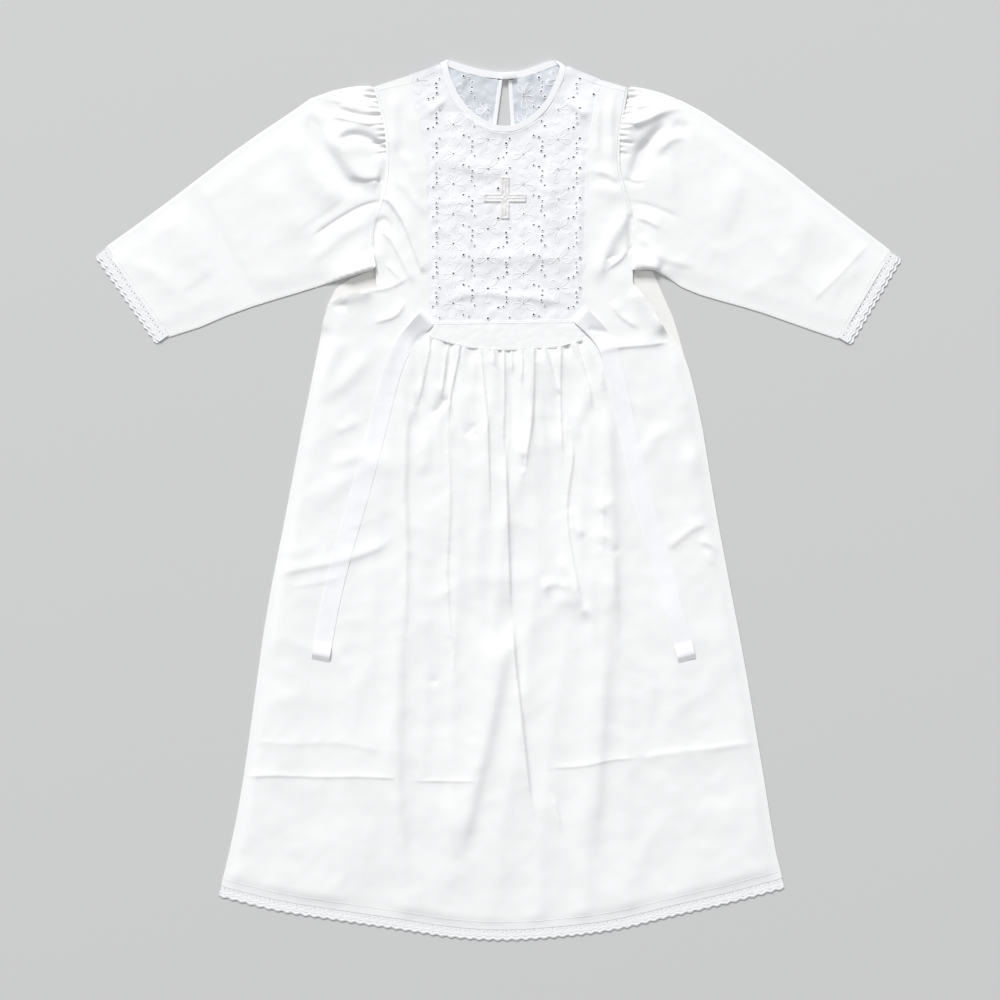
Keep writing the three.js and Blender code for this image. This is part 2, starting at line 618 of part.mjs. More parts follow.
/** The strip that binds the slit, down one side and up the other. */
function slitBinding() {
  const rows = SLIT_BINDING.map(({ edgeX, edgeY, bodyX, bodyY }) => [
    wallPoint(new THREE.Vector2(edgeX, edgeY), BINDING, 0, 0),
    wallPoint(new THREE.Vector2(bodyX, bodyY), BINDING, 0, 1),
  ]);
  return wall([rows]);
}

// ---- What lies on the front ------------------------------------------------------------------------
// The middle of each tie, from the bib's seam at the waist to its free end.
const TIE_LEFT = table(
  "x y",
  [-70, 183], [-82, 169], [-96, 150], [-107, 122.5], [-122, 66], [-137, 9.5], [-153, -46.5],
  [-167, -105.5], [-178, -159],
);
const TIE_RIGHT = table(
  "x y",
  [89, 182], [100, 168], [110, 150], [118, 122], [132, 60.5], [143, 8.5], [156, -35.5],
  [172, -96], [189, -160],
);
const TIE_STEPS = 32;
const TIE_NEIGHBOURHOOD = [-8, -4, 0, 4, 8];

/** The highest that some meshes reach close to a place in plan. */
function topNear(meshes, { x, y }) {
  const ray = new THREE.Raycaster();
  const heights = TIE_NEIGHBOURHOOD.flatMap((dx) =>
    TIE_NEIGHBOURHOOD.flatMap((dy) => {
      ray.set(new THREE.Vector3(x + dx, y + dy, 100), new THREE.Vector3(0, 0, -1));
      return ray.intersectObjects(meshes).map((hit) => hit.point.z);
    }),
  );
  return Math.max(...heights);
}

/** A tape tie laid on the meshes under it. */
function tie(rows, meshes) {
  const spline = new THREE.SplineCurve(rows.map(({ x, y }) => new THREE.Vector2(x, y)));
  const sections = steps(TIE_STEPS).map((t) => {
    const along = spline.getTangentAt(t);
    const side = new THREE.Vector2(-along.y, along.x).multiplyScalar(TAPE_WIDTH / 2);
    return [-1, 0, 1].map((share, i) => {
      const place = spline.getPointAt(t).add(side.clone().multiplyScalar(share));
      const low = topNear(meshes, place) + SEAM;
      return wallPoint(place, low + TAPE, low, i);
    });
  });
  return wall([sections]);
}

/** The cross sewn on the bib: four equal arms. */
function cross(meshes) {
  const long = CROSS_SPAN / 2;
  const short = CROSS_BAR / 2;
  const arm = table("x y", [short, long], [short, short], [long, short]);
  const turned = ({ x, y }, angle) => new THREE.Vector2(x, y).rotateAround(new THREE.Vector2(), angle);
  const outline = [0, 1, 2, 3].flatMap((quarter) =>
    arm.map((corner) => turned(corner, (-quarter * Math.PI) / 2).add(CROSS_AT)),
  );
  return flatPiece(outline, CROSS_HEIGHT, topNear(meshes, CROSS_AT) + SEAM);
}

// ---- Materials and the whole shirt ------------------------------------------------------------------
/** A white textile's material. */
function textile(colour, roughness) {
  return new THREE.MeshStandardMaterial({ color: colour, roughness, metalness: 0 });
}

const MUSLIN = textile(0xf7f7f5, 0.9);
const EYELET = textile(0xf4f4fa, 0.85);
const BIAS = textile(0xf9f9f9, 0.8);
const LACEWORK = textile(0xf2f2f0, 0.9);
const TWILL = textile(0xfafafa, 0.75);
const SATIN_STITCH = textile(0xeeeaec, 0.5);

/** A named mesh of one piece. */
function piece(name, geometry, material) {
  const mesh = new THREE.Mesh(geometry, material.clone());
  mesh.name = name;
  return mesh;
}

const front = piece("front_panel", frontPanel(), MUSLIN);
const bib = piece("front_inset", frontInset(), EYELET);
const band = piece("waist_band", waistBand(), MUSLIN);
const shirt = new THREE.Group();
shirt.add(
  piece("back_panel", backPanel(), MUSLIN),
  piece("back_inset", backInset(), EYELET),
  piece("slit_binding", slitBinding(), BIAS),
  front,
  bib,
  band,
  piece("neck_binding", neckBinding(), BIAS),
  piece("sleeve_left", sleeve(-1, ARMHOLE_LEFT, SLEEVE_TOP_LEFT, SLEEVE_FOOT_LEFT), MUSLIN),
  piece("sleeve_right", sleeve(1, ARMHOLE_RIGHT, SLEEVE_TOP_RIGHT, SLEEVE_FOOT_RIGHT), MUSLIN),
  piece("cuff_lace_left", cuffLace(-1, SLEEVE_TOP_LEFT, SLEEVE_FOOT_LEFT), LACEWORK),
  piece("cuff_lace_right", cuffLace(1, SLEEVE_TOP_RIGHT, SLEEVE_FOOT_RIGHT), LACEWORK),
  piece("hem_lace", hemLace(), LACEWORK),
  piece("tie_left", tie(TIE_LEFT, [front, bib, band]), TWILL),
  piece("tie_right", tie(TIE_RIGHT, [front, bib, band]), TWILL),
  piece("cross", cross([bib]), SATIN_STITCH),
);

// The origin is the middle of the whole, on the plane it lies on.
const bounds = new THREE.Box3().setFromObject(shirt);
const centre = bounds.getCenter(new THREE.Vector3());
shirt.position.set(-centre.x, -centre.y, -bounds.min.z);

export default shirt;
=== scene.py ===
"""A child's long baptismal shirt of white cotton, laid flat on its back with its front up.

Places on the shirt are given in millimetres on the cutting board, to the right and down from the
board's upper left corner. ``metres`` brings them to the frame of the model.
"""

import logging
import math
from dataclasses import dataclass
from enum import Enum

import bmesh
import bpy
import numpy as np
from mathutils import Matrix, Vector, noise


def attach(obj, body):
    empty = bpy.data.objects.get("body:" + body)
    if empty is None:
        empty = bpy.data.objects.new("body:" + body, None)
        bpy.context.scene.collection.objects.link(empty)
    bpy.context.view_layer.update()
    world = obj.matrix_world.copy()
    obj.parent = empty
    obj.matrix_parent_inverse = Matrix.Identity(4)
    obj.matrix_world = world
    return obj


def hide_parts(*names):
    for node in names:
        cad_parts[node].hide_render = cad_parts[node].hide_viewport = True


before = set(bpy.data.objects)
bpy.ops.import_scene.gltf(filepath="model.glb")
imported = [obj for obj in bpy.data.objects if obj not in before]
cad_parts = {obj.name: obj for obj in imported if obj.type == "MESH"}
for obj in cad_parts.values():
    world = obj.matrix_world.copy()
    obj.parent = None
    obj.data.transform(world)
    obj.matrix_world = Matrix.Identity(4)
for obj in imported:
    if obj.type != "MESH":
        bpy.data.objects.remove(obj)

log = logging.getLogger("shirt")

MM = 0.001
BOARD_X = 498.33  # where the frame's origin lies on the board
BOARD_Y = 500.0
BODY = "root"
FAR = 1e9
TINY = 1e-9

Spot = tuple[float, float]
Path = tuple[Spot, ...]


# ---- Places ----------------------------------------------------------------------------------------
def metres(places: np.ndarray, heights: np.ndarray) -> np.ndarray:
    """Bring places on the board and heights in millimetres to the frame, in metres.

    Args:
        places: rows of x and y on the board.
        heights: one height for each row.

    Returns:
        Rows of x, y and z.
    """
    return np.column_stack([(places[:, 0] - BOARD_X) * MM, (BOARD_Y - places[:, 1]) * MM, heights * MM])


def on_board(points: np.ndarray) -> np.ndarray:
    """Bring points of the frame, in metres, to places on the board.

    Args:
        points: rows of x and y, and z if there is one.

    Returns:
        Rows of x and y on the board.
    """
    return np.column_stack([points[:, 0] / MM + BOARD_X, BOARD_Y - points[:, 1] / MM])


def smoothstep(t: np.ndarray) -> np.ndarray:
    """Return a smooth rise from 0 to 1 for t from 0 to 1."""
    t = np.clip(t, 0.0, 1.0)
    return t * t * (3 - 2 * t)


def rounded(path: Path, steps: int = 6) -> np.ndarray:
    """Draw a smooth line through the points of a path.

    Args:
        path: the points, on the board.
        steps: how many pieces the line gets between two of them.

    Returns:
        The line, as rows of x and y.
    """
    points = np.array(path, dtype=float)
    if len(points) < 3:
        return points
    ends = np.vstack([2 * points[0] - points[1], points, 2 * points[-1] - points[-2]])
    t = np.linspace(0, 1, steps, endpoint=False)[:, None]
    line = []
    for a, b, c, d in zip(ends, ends[1:], ends[2:], ends[3:]):
        bends = (2 * a - 5 * b + 4 * c - d) * t**2 + (3 * b - a - 3 * c + d) * t**3
        line.append(0.5 * (2 * b + (c - a) * t + bends))
    return np.vstack(line + [points[-1:]])


def lengths_along(line: np.ndarray) -> np.ndarray:
    """Return how far along a line each of its points is."""
    return np.concatenate([[0], np.cumsum(np.hypot(*np.diff(line, axis=0).T))])


def at_lengths(wanted: np.ndarray, lengths: np.ndarray, rows: np.ndarray) -> np.ndarray:
    """Return rows of two values, which are given at some lengths, at the wanted lengths."""
    return np.column_stack([np.interp(wanted, lengths, rows[:, i]) for i in (0, 1)])


def directions(line: np.ndarray) -> np.ndarray:
    """Return the direction of a line at each of its points."""
    step = np.gradient(line, axis=0)
    return step / np.hypot(*step.T)[:, None]


def beside(path: Path, by: float) -> Path:
    """Return a path moved sideways, to its right as drawn on the board, by some millimetres."""
    points = np.array(path, dtype=float)
    way = directions(points)
    return tuple(map(tuple, points + np.column_stack([-way[:, 1], way[:, 0]]) * by))


@dataclass(frozen=True)
class Nearness:
    """How places lie to a line: how far away, on which side, and how far along."""

    away: np.ndarray
    side: np.ndarray
    along: np.ndarray
    length: float
    nearest: np.ndarray
    segment: np.ndarray


def nearness(places: np.ndarray, line: np.ndarray) -> Nearness:
    """Measure places against a broken line.

    Args:
        places: rows of x and y.
        line: the line's points.

    Returns:
        The distance of each place, its side (1 to the left of the line as drawn on the board), how far
        along the line the nearest point is, the whole length, and the nearest point and its segment.
    """
    count = len(places)
    best = Nearness(
        np.full(count, FAR), np.ones(count), np.zeros(count), 0.0,
        np.zeros((count, 2)), np.zeros(count, int),
    )
    start = 0.0
    for i, (a, b) in enumerate(zip(line, line[1:])):
        step = b - a
        size = math.hypot(*step)
        if size < TINY:
            continue
        share = np.clip(((places - a) @ step) / size**2, 0, 1)
        point = a + share[:, None] * step
        gap = places - point
        away = np.hypot(gap[:, 0], gap[:, 1])
        closer = away < best.away
        best.away[closer] = away[closer]
        cross = step[0] * (places[:, 1] - a[1]) - step[1] * (places[:, 0] - a[0])
        best.side[closer] = np.where(cross[closer] < 0, 1.0, -1.0)
        best.along[closer] = start + share[closer] * size
        best.nearest[closer] = point[closer]
        best.segment[closer] = i
        start += size
    return Nearness(best.away, best.side, best.along, start, best.nearest, best.segment)


# ---- Folds -----------------------------------------------------------------------------------------
FOLD_REACH = 3.2  # in widths: further away, a fold adds nothing that shows
FOLD_END = 0.06  # the share of its height that a fold keeps at its ends
FOLD_BACK = 0.12  # in widths: how far a fold's back is rounded off


@dataclass(frozen=True)
class Fold:
    """A fold along a path: height above the cloth round it, and how wide it falls off on each side.

    A steep side makes the edge of a lap; a height below 0 makes a furrow. Its ends run out over fade.
    """

    height: float
    width: float
    path: Path
    steep: float | None = None
    fade: float = 18.0
    crisp: float = 1.35  # 2 for a rounded back, 1 for a pressed crease
    start: float | None = None  # the fade at the path's first end, if it is another one

    def rise(self, places: np.ndarray) -> np.ndarray:
        """Work out how much the fold adds to the cloth's height.

        Args:
            places: rows of x and y on the board.

        Returns:
            A height for each place.
        """
        line = rounded(self.path)
        reach = FOLD_REACH * max(self.width, self.steep or 0.0)
        low, high = line.min(axis=0) - reach, line.max(axis=0) + reach
        close = np.all((places > low) & (places < high), axis=1)
        rise = np.zeros(len(places))
        if not close.any():
            return rise
        near = nearness(places[close], line)
        width = np.where(near.side > 0, self.steep or self.width, self.width)
        start = max(self.fade if self.start is None else self.start, TINY)
        ends = np.minimum(near.along / start, (near.length - near.along) / max(self.fade, TINY))
        taper = FOLD_END + (1 - FOLD_END) * smoothstep(ends)
        rounded_off = np.hypot(near.away / width, FOLD_BACK) - FOLD_BACK
        rise[close] = self.height * np.exp(-(rounded_off**self.crisp)) * taper
        return rise


def fine_side(fold: Fold) -> float:
    """Return the width of a fold's narrower side."""
    return min(fold.width, fold.steep or fold.width)


def in_noise(places: np.ndarray, size: float, seed: float, stretch: float) -> list[Vector]:
    """Return where places lie in noise with waves of a size, stretched down the board."""
    return [Vector((x / size, y / size / stretch, seed)) for x, y in places]


def crumple(
    places: np.ndarray, amount: float, size: float, seed: float, stretch: float = 1.0
) -> np.ndarray:
    """Return the small unevenness of laid cloth.

    Args:
        places: rows of x and y on the board.
        amount: its height in millimetres.
        size: the size of its largest waves in millimetres.
        seed: which unevenness.
        stretch: how much longer the waves are down the board than across it.

    Returns:
        A height for each place.
    """
    spots = in_noise(places, size, seed, stretch)
    rows = [noise.fractal(v, 0.9, 2.1, 3, noise_basis="PERLIN_ORIGINAL") for v in spots]
    return amount * np.array(rows)


def ridges(
    places: np.ndarray, amount: float, size: float, seed: float, stretch: float = 1.0
) -> np.ndarray:
    """Return the sharp-backed creases of crumpled cotton, with the arguments of crumple."""
    rows = [1.0 - abs(2.4 * noise.noise(v)) for v in in_noise(places, size, seed, stretch)]
    return amount * np.clip(np.array(rows), -0.4, 1.0)


# ---- Seams and edges, on the board -----------------------------------------------------------------
LEFT_SIDE: Path = (
    (321, 337), (317.5, 354.5), (312, 382.5), (302, 431.5), (292, 484.5), (282, 536.5), (271, 591.5),
    (262, 646.5), (254.5, 703.5), (247.5, 753.5), (241.5, 793.5), (233, 838.5), (221.5, 885.5),
)
RIGHT_SIDE: Path = (
    (669.5, 337), (682.5, 354.5), (692, 382.5), (702.5, 431.5), (711, 484.5), (720, 536.5), (730.5, 591.5),
    (741, 646.5), (751, 703.5), (759, 753.5), (766, 793.5), (772.5, 838.5), (781.5, 877.5),
)
HEM: Path = (
    (221.5, 885.5), (278, 899.5), (334, 908.5), (402, 918.5), (452, 926), (502, 929), (556, 926),
    (613, 918.8), (669.5, 905.5), (727, 892), (781.5, 877.5),
)
ARMHOLE_LEFT: Path = (
    (374, 88), (380.4, 110), (386, 135.5), (386.5, 160.5), (385.4, 180.5), (380, 203.5), (372, 227.5),
    (371.6, 249.5), (376, 267.5),
)
ARMHOLE_RIGHT: Path = (
    (627.5, 88.7), (622.3, 118.5), (619, 141), (619, 167), (624.4, 191), (631, 210.5), (634, 234),
    (633, 252.5), (632, 269.5),
)
BIB_LEFT: Path = ((410, 76.5), (419, 119.5), (427, 160), (429, 242.5), (430.5, 311.5), (430.5, 322))
BIB_RIGHT: Path = ((600, 76.5), (592, 120.5), (586, 160), (584.5, 242.5), (583.5, 311.5), (583.5, 320))
BAND_FOOT: Path = ((430, 338), (467, 347.7), (505, 350.5), (558, 347.7), (584, 340.5))
NECK_OUTER: Path = (
    (441, 66.5), (442.5, 73), (448.5, 90.6), (458, 107), (472, 121), (490, 130.7), (505, 133), (518, 131),
    (534, 122.8), (550.4, 106.7), (559.5, 87), (564.4, 77), (565.5, 67),
)
CUFF_LEFT: Path = ((106, 249), (167, 336.5))
CUFF_RIGHT: Path = ((890.3, 252.4), (839.5, 338.2))
SLEEVE_EDGES_LEFT: tuple[Path, ...] = (
    (
        (349, 89.5), (314, 99), (284, 119.7), (245, 145.5), (208, 173.5), (167, 205), (136, 227.5),
        (106, 249),
    ),
    ((318, 285.5), (293, 293), (264.5, 301.5), (231.8, 312.5), (201.4, 325.5), (184, 331), (167, 336.5)),
)
SLEEVE_EDGES_RIGHT: tuple[Path, ...] = (
    (
        (650, 91.5), (680, 102), (710, 118.3), (746, 143), (778, 165), (814, 193.5), (852, 223),
        (890.3, 252.4),
    ),
    ((680, 285), (704, 295), (731.8, 302.6), (758, 310), (785, 319.5), (812, 329), (839.5, 338.2)),
)
SHOULDERS: tuple[Path, ...] = (
    ((379, 91), (400, 86), (412.5, 83), (428, 76), (440, 70)),
    ((631, 93), (607, 87.5), (594, 83.5), (578, 77.5), (567, 72)),
)
TIE_PATH_LEFT: Path = (
    (430, 316), (416, 331), (402, 349), (390.5, 378), (376, 434.5), (361, 491), (345.3, 545), (331.5, 600),
    (320.5, 660),
)
TIE_PATH_RIGHT: Path = (
    (577, 313), (598, 333), (608.5, 350.5), (616, 378.5), (630, 440), (641, 492), (654, 538), (670, 596.5),
    (687, 660),
)
STRIP_END: Path = ((500.5, 73.6), (515, 72.2), (516, 78.6), (501, 80.2))

POCKETS = (  # the hollows between gathers, under the band: place, half width, depth, length, lean
    (432.5, 1.6, 1.8, 12, -3), (446.5, 2.4, 2.6, 11, -1), (452, 1.2, 1.6, 9, -1), (461.5, 1.1, 1.8, 10, -2),
    (474.5, 4.6, 3.4, 16, 1), (490.5, 1.6, 2.4, 9, 1), (500, 1.4, 2.2, 9, 0), (509, 1.0, 1.6, 7, 0),
    (523.5, 1.0, 1.6, 10, 0), (538.5, 4.0, 3.4, 14, 2), (555.5, 3.0, 2.6, 10, 1), (567, 2.8, 2.6, 10, 2),
    (580, 2.4, 2.6, 11, 4),
)


def gathers() -> tuple[Fold, ...]:
    """Draw the hollows between the gathers, which start under the band.

    Returns:
        A short furrow for each of the pockets.
    """
    foot = rounded(BAND_FOOT)
    furrows = []
    for x, half, deep, length, lean in POCKETS:
        y = float(np.interp(x, foot[:, 0], foot[:, 1]))
        path = ((x, y - 2.5), (x + 0.4 * lean, y + length / 2), (x + lean, y + length))
        furrows.append(Fold(-0.8 * deep, half, path, None, 0.8 * length, 1.7, 0.0))
    return tuple(furrows)


# ---- The folds of each piece -----------------------------------------------------------------------
SKIRT_FOLDS = gathers() + (
    # laps that start under the band, from the left; the steep side is on the right
    Fold(1.8, 6.0, ((432, 336), (425, 372), (416, 412)), 1.4, 22, 1.2, 0.0),
    Fold(2.2, 5.0, ((448.5, 340), (445, 372), (440, 402)), 1.2, 16, 1.2, 0.0),
    Fold(2.4, 6.5, ((461.5, 343), (456, 370), (451, 394), (449, 424)), 1.0, 20, 1.2, 0.0),
    Fold(2.4, 7.0, ((480.5, 346), (484, 385), (487.5, 422), (489, 470), (490, 530)), 1.1, 70, 1.2, 0.0),
    Fold(1.6, 3.6, ((493, 347), (495, 368)), 0.9, 8, 1.2, 0.0),
    Fold(2.2, 7.0, ((504, 347), (504.5, 400), (503.5, 436), (505.6, 463)), 1.0, 30, 1.2, 0.0),
    Fold(1.4, 3.2, ((512, 347), (513, 376)), 0.9, 10, 1.2, 0.0),
    Fold(2.0, 5.0, ((523, 347), (522, 388)), 0.9, 16, 1.2, 0.0),
    Fold(2.8, 9.0, ((534, 346), (532.5, 410), (528, 446), (523, 482)), 1.5, 34, 1.2, 0.0),
    Fold(2.2, 6.0, ((544.5, 347), (552, 372), (561, 396)), 0.9, 10, 1.2, 0.0),
    Fold(2.2, 6.5, ((561, 343), (560.5, 400), (563, 470)), 1.0, 36, 1.2, 0.0),
    Fold(2.0, 6.0, ((575, 341), (583, 368), (594, 410)), 1.0, 16, 1.2, 0.0),
    Fold(1.6, 5.0, ((582, 338), (596, 362), (606, 392)), 1.2, 14, 1.2, 0.0),
    Fold(-3.0, 5.0, ((449, 396), (441, 407), (432, 418)), 2.6, 8, 1.6),
    Fold(-1.6, 5.0, ((476, 422), (470, 432), (462, 436)), 2.4, 8, 1.6),
    Fold(1.8, 7.0, ((430, 428), (427, 452), (424, 478)), 4.0, 14, 1.5),
    # the long folds of the skirt
    Fold(3.6, 11.0, ((505, 440), (507, 500), (510, 596), (512, 618)), 1.4, 46, 1.3),
    Fold(4.0, 12.0, ((512, 612), (515, 660), (520, 706), (526, 760), (532, 812)), 1.6, 46, 1.3),
    Fold(4.2, 18.0, ((508, 630), (494, 706), (475, 790), (457, 866)), 6.0, 50, 1.5, 34.0),
    Fold(1.5, 10.0, ((447, 424), (450, 500), (447, 579), (454, 668)), 1.8, 60, 1.35),
    Fold(2.0, 9.0, ((421, 388), (408, 424), (405, 480), (407, 560), (404, 652)), 2.4, 60, 1.4),
    Fold(3.6, 16.0, ((400, 610), (398, 700), (398, 800), (408, 890)), 6.0, 60, 1.6),
    Fold(3.0, 14.0, ((604, 640), (600, 740), (590, 868)), 6.0, 60, 1.6),
    Fold(1.6, 14.0, ((372, 560), (366, 700), (362, 830)), 12.0, 70, 1.6),
    Fold(2.0, 9.0, ((566, 420), (573, 453), (567, 520), (583, 613)), 1.3, 40, 1.3),
    Fold(3.0, 10.0, ((606, 396), (611, 470), (613, 556), (613, 622)), 5.0, 40, 1.4),
    Fold(0.9, 8.0, ((603, 470), (603, 566)), 1.8, 36, 1.4),
    Fold(0.9, 9.0, ((617, 548), (617, 672)), 2.0, 50, 1.4),
    Fold(1.8, 12.0, ((601, 330), (606, 460), (606, 600), (604, 770)), 9.0, 70, 1.6),
    Fold(2.6, 8.0, ((560, 552), (572, 584), (591, 622)), 3.0, 16, 1.3),
    Fold(1.1, 6.0, ((572, 590), (556, 584), (538, 590)), 3.2, 10, 1.6),
    Fold(1.0, 7.0, ((582, 608), (568, 601), (552, 603)), 4.0, 10, 1.7),
    Fold(2.0, 11.0, ((590, 556), (592, 610), (592, 690)), 5.0, 30, 1.6),
    Fold(1.8, 6.0, ((571, 506), (577, 522), (584, 538)), 2.4, 8, 1.5),
    Fold(1.5, 8.0, ((588, 396), (580, 418), (571, 442)), 5.0, 14, 1.7),
    Fold(-0.8, 5.0, ((584, 402), (588, 414), (580, 432)), 4.0, 10, 1.6),
    Fold(1.3, 6.0, ((546, 600), (545, 574)), 2.0, 12, 1.4),
    Fold(1.7, 7.0, ((598, 514), (606, 504), (614, 508)), 5.0, 8, 1.8),
    Fold(1.2, 6.0, ((594, 530), (602, 536), (608, 530)), 5.0, 8, 1.8),
    Fold(-0.8, 4.0, ((619, 546), (612, 556)), 2.6, 6, 1.6),
    Fold(1.4, 7.0, ((553, 790), (562, 834)), 1.6, 16, 1.2),
    Fold(-1.2, 6.0, ((433, 674), (436, 688)), 3.0, 10, 1.6),
    Fold(-1.5, 5.0, ((470, 432), (480, 436)), 2.4, 8, 1.6),
    Fold(1.4, 14.0, ((668, 560), (676, 700), (690, 830)), 12.0, 80, 1.6),
    Fold(1.3, 15.0, ((300, 560), (288, 700), (280, 820)), 15.0, 80, 1.6),
    Fold(-1.6, 5.0, ((525, 452), (524, 474)), 1.6, 8, 1.5),
    # shallow creases across it; the steep side is the lower one
    Fold(1.5, 9.0, ((394, 536), (378, 548), (345, 560), (306, 568), (270, 576)), 3.2, 24, 1.5),
    Fold(1.0, 8.0, ((322, 546), (300, 552), (274, 552)), 4.0, 14, 1.6),
    Fold(1.6, 10.0, ((346, 338), (330, 362), (312, 392)), 7.0, 14, 1.6),
    Fold(1.8, 12.0, ((372, 352), (350, 378), (318, 404)), 6.0, 20, 1.6),
    Fold(1.4, 12.0, ((392, 452), (350, 476), (304, 512)), 9.0, 26, 1.7),
    Fold(0.7, 6.0, ((352, 574), (318, 583), (284, 588)), 2.2, 22, 1.4),
    Fold(0.6, 6.0, ((372, 520), (344, 530)), 2.4, 14, 1.5),
    Fold(1.1, 7.0, ((364, 420), (350, 426), (332, 434)), 3.6, 12, 1.6),
    Fold(1.1, 7.0, ((366, 452), (350, 460), (330, 464)), 4.0, 10, 1.6),
    Fold(1.6, 7.0, ((708, 524), (694, 528), (678, 540), (666, 550)), 3.0, 10, 1.5),
    Fold(1.6, 5.0, ((724, 556), (712, 546), (698, 540)), 2.4, 8, 1.5),
    Fold(1.5, 8.0, ((676, 432), (656, 436), (642, 462)), 5.0, 14, 1.6),
    Fold(1.4, 12.0, ((700, 440), (690, 478), (706, 520)), 9.0, 20, 1.7),
    Fold(1.4, 9.0, ((684, 352), (674, 376), (690, 416)), 6.0, 16, 1.6),
    Fold(0.6, 7.0, ((718, 570), (700, 548)), 3.0, 12, 1.6),
    Fold(0.9, 4.2, ((399, 778), (362, 776.4), (320, 776.8), (280, 775.4), (240, 776.4)), 1.5, 12, 1.2),
    Fold(0.5, 5.0, ((388, 752), (340, 743), (296, 743.4), (246, 741)), 2.4, 22, 1.3),
    Fold(0.75, 3.2, ((481, 781), (408, 781)), 0.9, 22, 1.1),
    Fold(0.9, 3.6, ((640, 757.6), (676, 751.4), (712, 748), (759, 741)), 3.4, 12, 1.2),
    Fold(0.8, 3.8, ((642, 757.4), (610, 760), (580, 766), (546, 768)), 1.5, 22, 1.2),
    Fold(1.0, 8.0, ((330, 640), (356, 690), (352, 740)), 4.0, 26, 1.4),
    Fold(1.0, 8.0, ((640, 640), (652, 690), (648, 736)), 4.0, 26, 1.4),
)

BODICE_FOLDS = (
    Fold(1.8, 6.0, ((396, 92), (395, 120), (396, 158)), 4.0, 18),
    Fold(2.2, 7.0, ((612, 94), (611, 130), (613, 170)), 3.0, 18, 1.6),
    Fold(1.6, 7.0, ((600, 96), (597, 130), (598, 166)), 3.0, 20, 1.6),
    Fold(1.8, 6.0, ((620, 184), (606, 175), (592, 172)), 2.0, 10),
    Fold(1.4, 7.0, ((422, 202), (412, 172), (399, 150)), 3.0, 16, 1.6),
    Fold(1.3, 7.0, ((428, 218), (412, 198), (396, 178)), 3.0, 14, 1.6),
    Fold(3.0, 7.0, ((424, 276), (413, 246), (404, 224), (390, 203), (380, 198)), 1.7, 10),
    Fold(1.6, 5.0, ((414, 286), (394, 246), (377, 226)), 1.6, 14),
    Fold(1.2, 5.0, ((402, 282), (384, 262)), 1.6, 10),
    Fold(-1.8, 5.0, ((378, 216), (388, 222), (394, 236)), 2.0, 8, 1.6),
    Fold(-3.0, 3.4, ((380, 216), (376, 234), (375, 254)), 3.4, 8, 1.5),
    Fold(3.0, 7.0, ((632, 211), (618, 231), (605, 257), (597, 283)), 4.4, 16, 1.5),
    Fold(-3.0, 3.4, ((629, 212), (630.5, 234), (629.5, 256)), 3.4, 8, 1.5),
    Fold(1.6, 6.0, ((590, 188), (609, 190), (628, 197)), 4.0, 14, 1.6),
    Fold(1.6, 5.0, ((633, 240), (621, 259), (604, 272)), 1.5, 14),
    Fold(-1.5, 4.0, ((624, 256), (612, 258), (604, 262)), 1.4, 8),
    Fold(1.4, 6.0, ((406, 300), (396, 316), (372, 324)), 1.8, 12),
    Fold(1.4, 6.0, ((640, 330), (620, 316), (610, 300)), 1.8, 12),
    Fold(1.6, 8.0, ((674, 341), (650, 345), (618, 348), (596, 354)), 1.8, 14),
    Fold(1.0, 5.0, ((412, 276), (390, 288), (366, 292)), 1.8, 12),
    # the free edges under the arms stand a little
    Fold(3.4, 8.0, ((374, 292), (350, 297), (338, 302)), 5.0, 8),
    Fold(-2.2, 3.2, ((347, 304), (340, 307), (333, 304)), 2.2, 5, 1.5),
    Fold(5.0, 7.0, ((634, 287), (648, 308), (666, 334)), 4.0, 10),
)

BIB_FOLDS = (
    Fold(2.2, 8.0, ((448, 98), (436, 109), (424, 118)), 2.4, 12),
    Fold(2.2, 8.0, ((591, 122), (576, 110), (563, 99)), 2.4, 12),
    Fold(1.6, 10.0, ((520, 178), (470, 170), (437, 156)), 5.0, 22, 1.7),
    Fold(1.5, 10.0, ((560, 150), (548, 196), (556, 250)), 6.0, 30, 1.7),
    Fold(1.4, 9.0, ((462, 262), (470, 224), (450, 196)), 6.0, 26, 1.7),
    Fold(1.5, 12.0, ((572, 262), (530, 258), (480, 260), (440, 264)), 7.0, 26, 1.7),
    Fold(1.5, 6.0, ((572, 303), (530, 299), (480, 294), (440, 303)), 3.0, 26, 1.6),
    Fold(1.0, 6.0, ((486, 202), (440, 204)), 2.4, 18, 1.5),
    Fold(-1.2, 8.0, ((500, 134), (504, 150), (505, 164)), 8.0, 14, 1.8),
    Fold(0.6, 3.4, ((434, 150), (436, 242), (437, 318)), 1.6, 20, 1.4),
    Fold(0.6, 1.6, ((580, 150), (578, 242), (577, 316)), 3.4, 20, 1.4),
)
YOKE_FOLDS = (
    Fold(1.8, 7.0, ((560, 72), (548, 84), (541, 104)), 3.0, 10, 1.5),
    Fold(1.8, 6.0, ((538, 66), (528, 80), (524, 100)), 3.0, 10, 1.5),
    Fold(1.6, 6.0, ((470, 64), (463, 76), (466, 92)), 3.0, 10, 1.5),
    Fold(1.4, 5.0, ((452, 74), (458, 88), (470, 102)), 2.6, 10, 1.5),
)

BAND_TILT = Fold(0.7, 20.0, BAND_FOOT, fade=0.0, crisp=1.6)  # the gathers under it hold its foot up
NECK_EDGE = Fold(0.7, 4.0, NECK_OUTER, fade=0.0, crisp=2.0)  # the turned-in edge under the strip

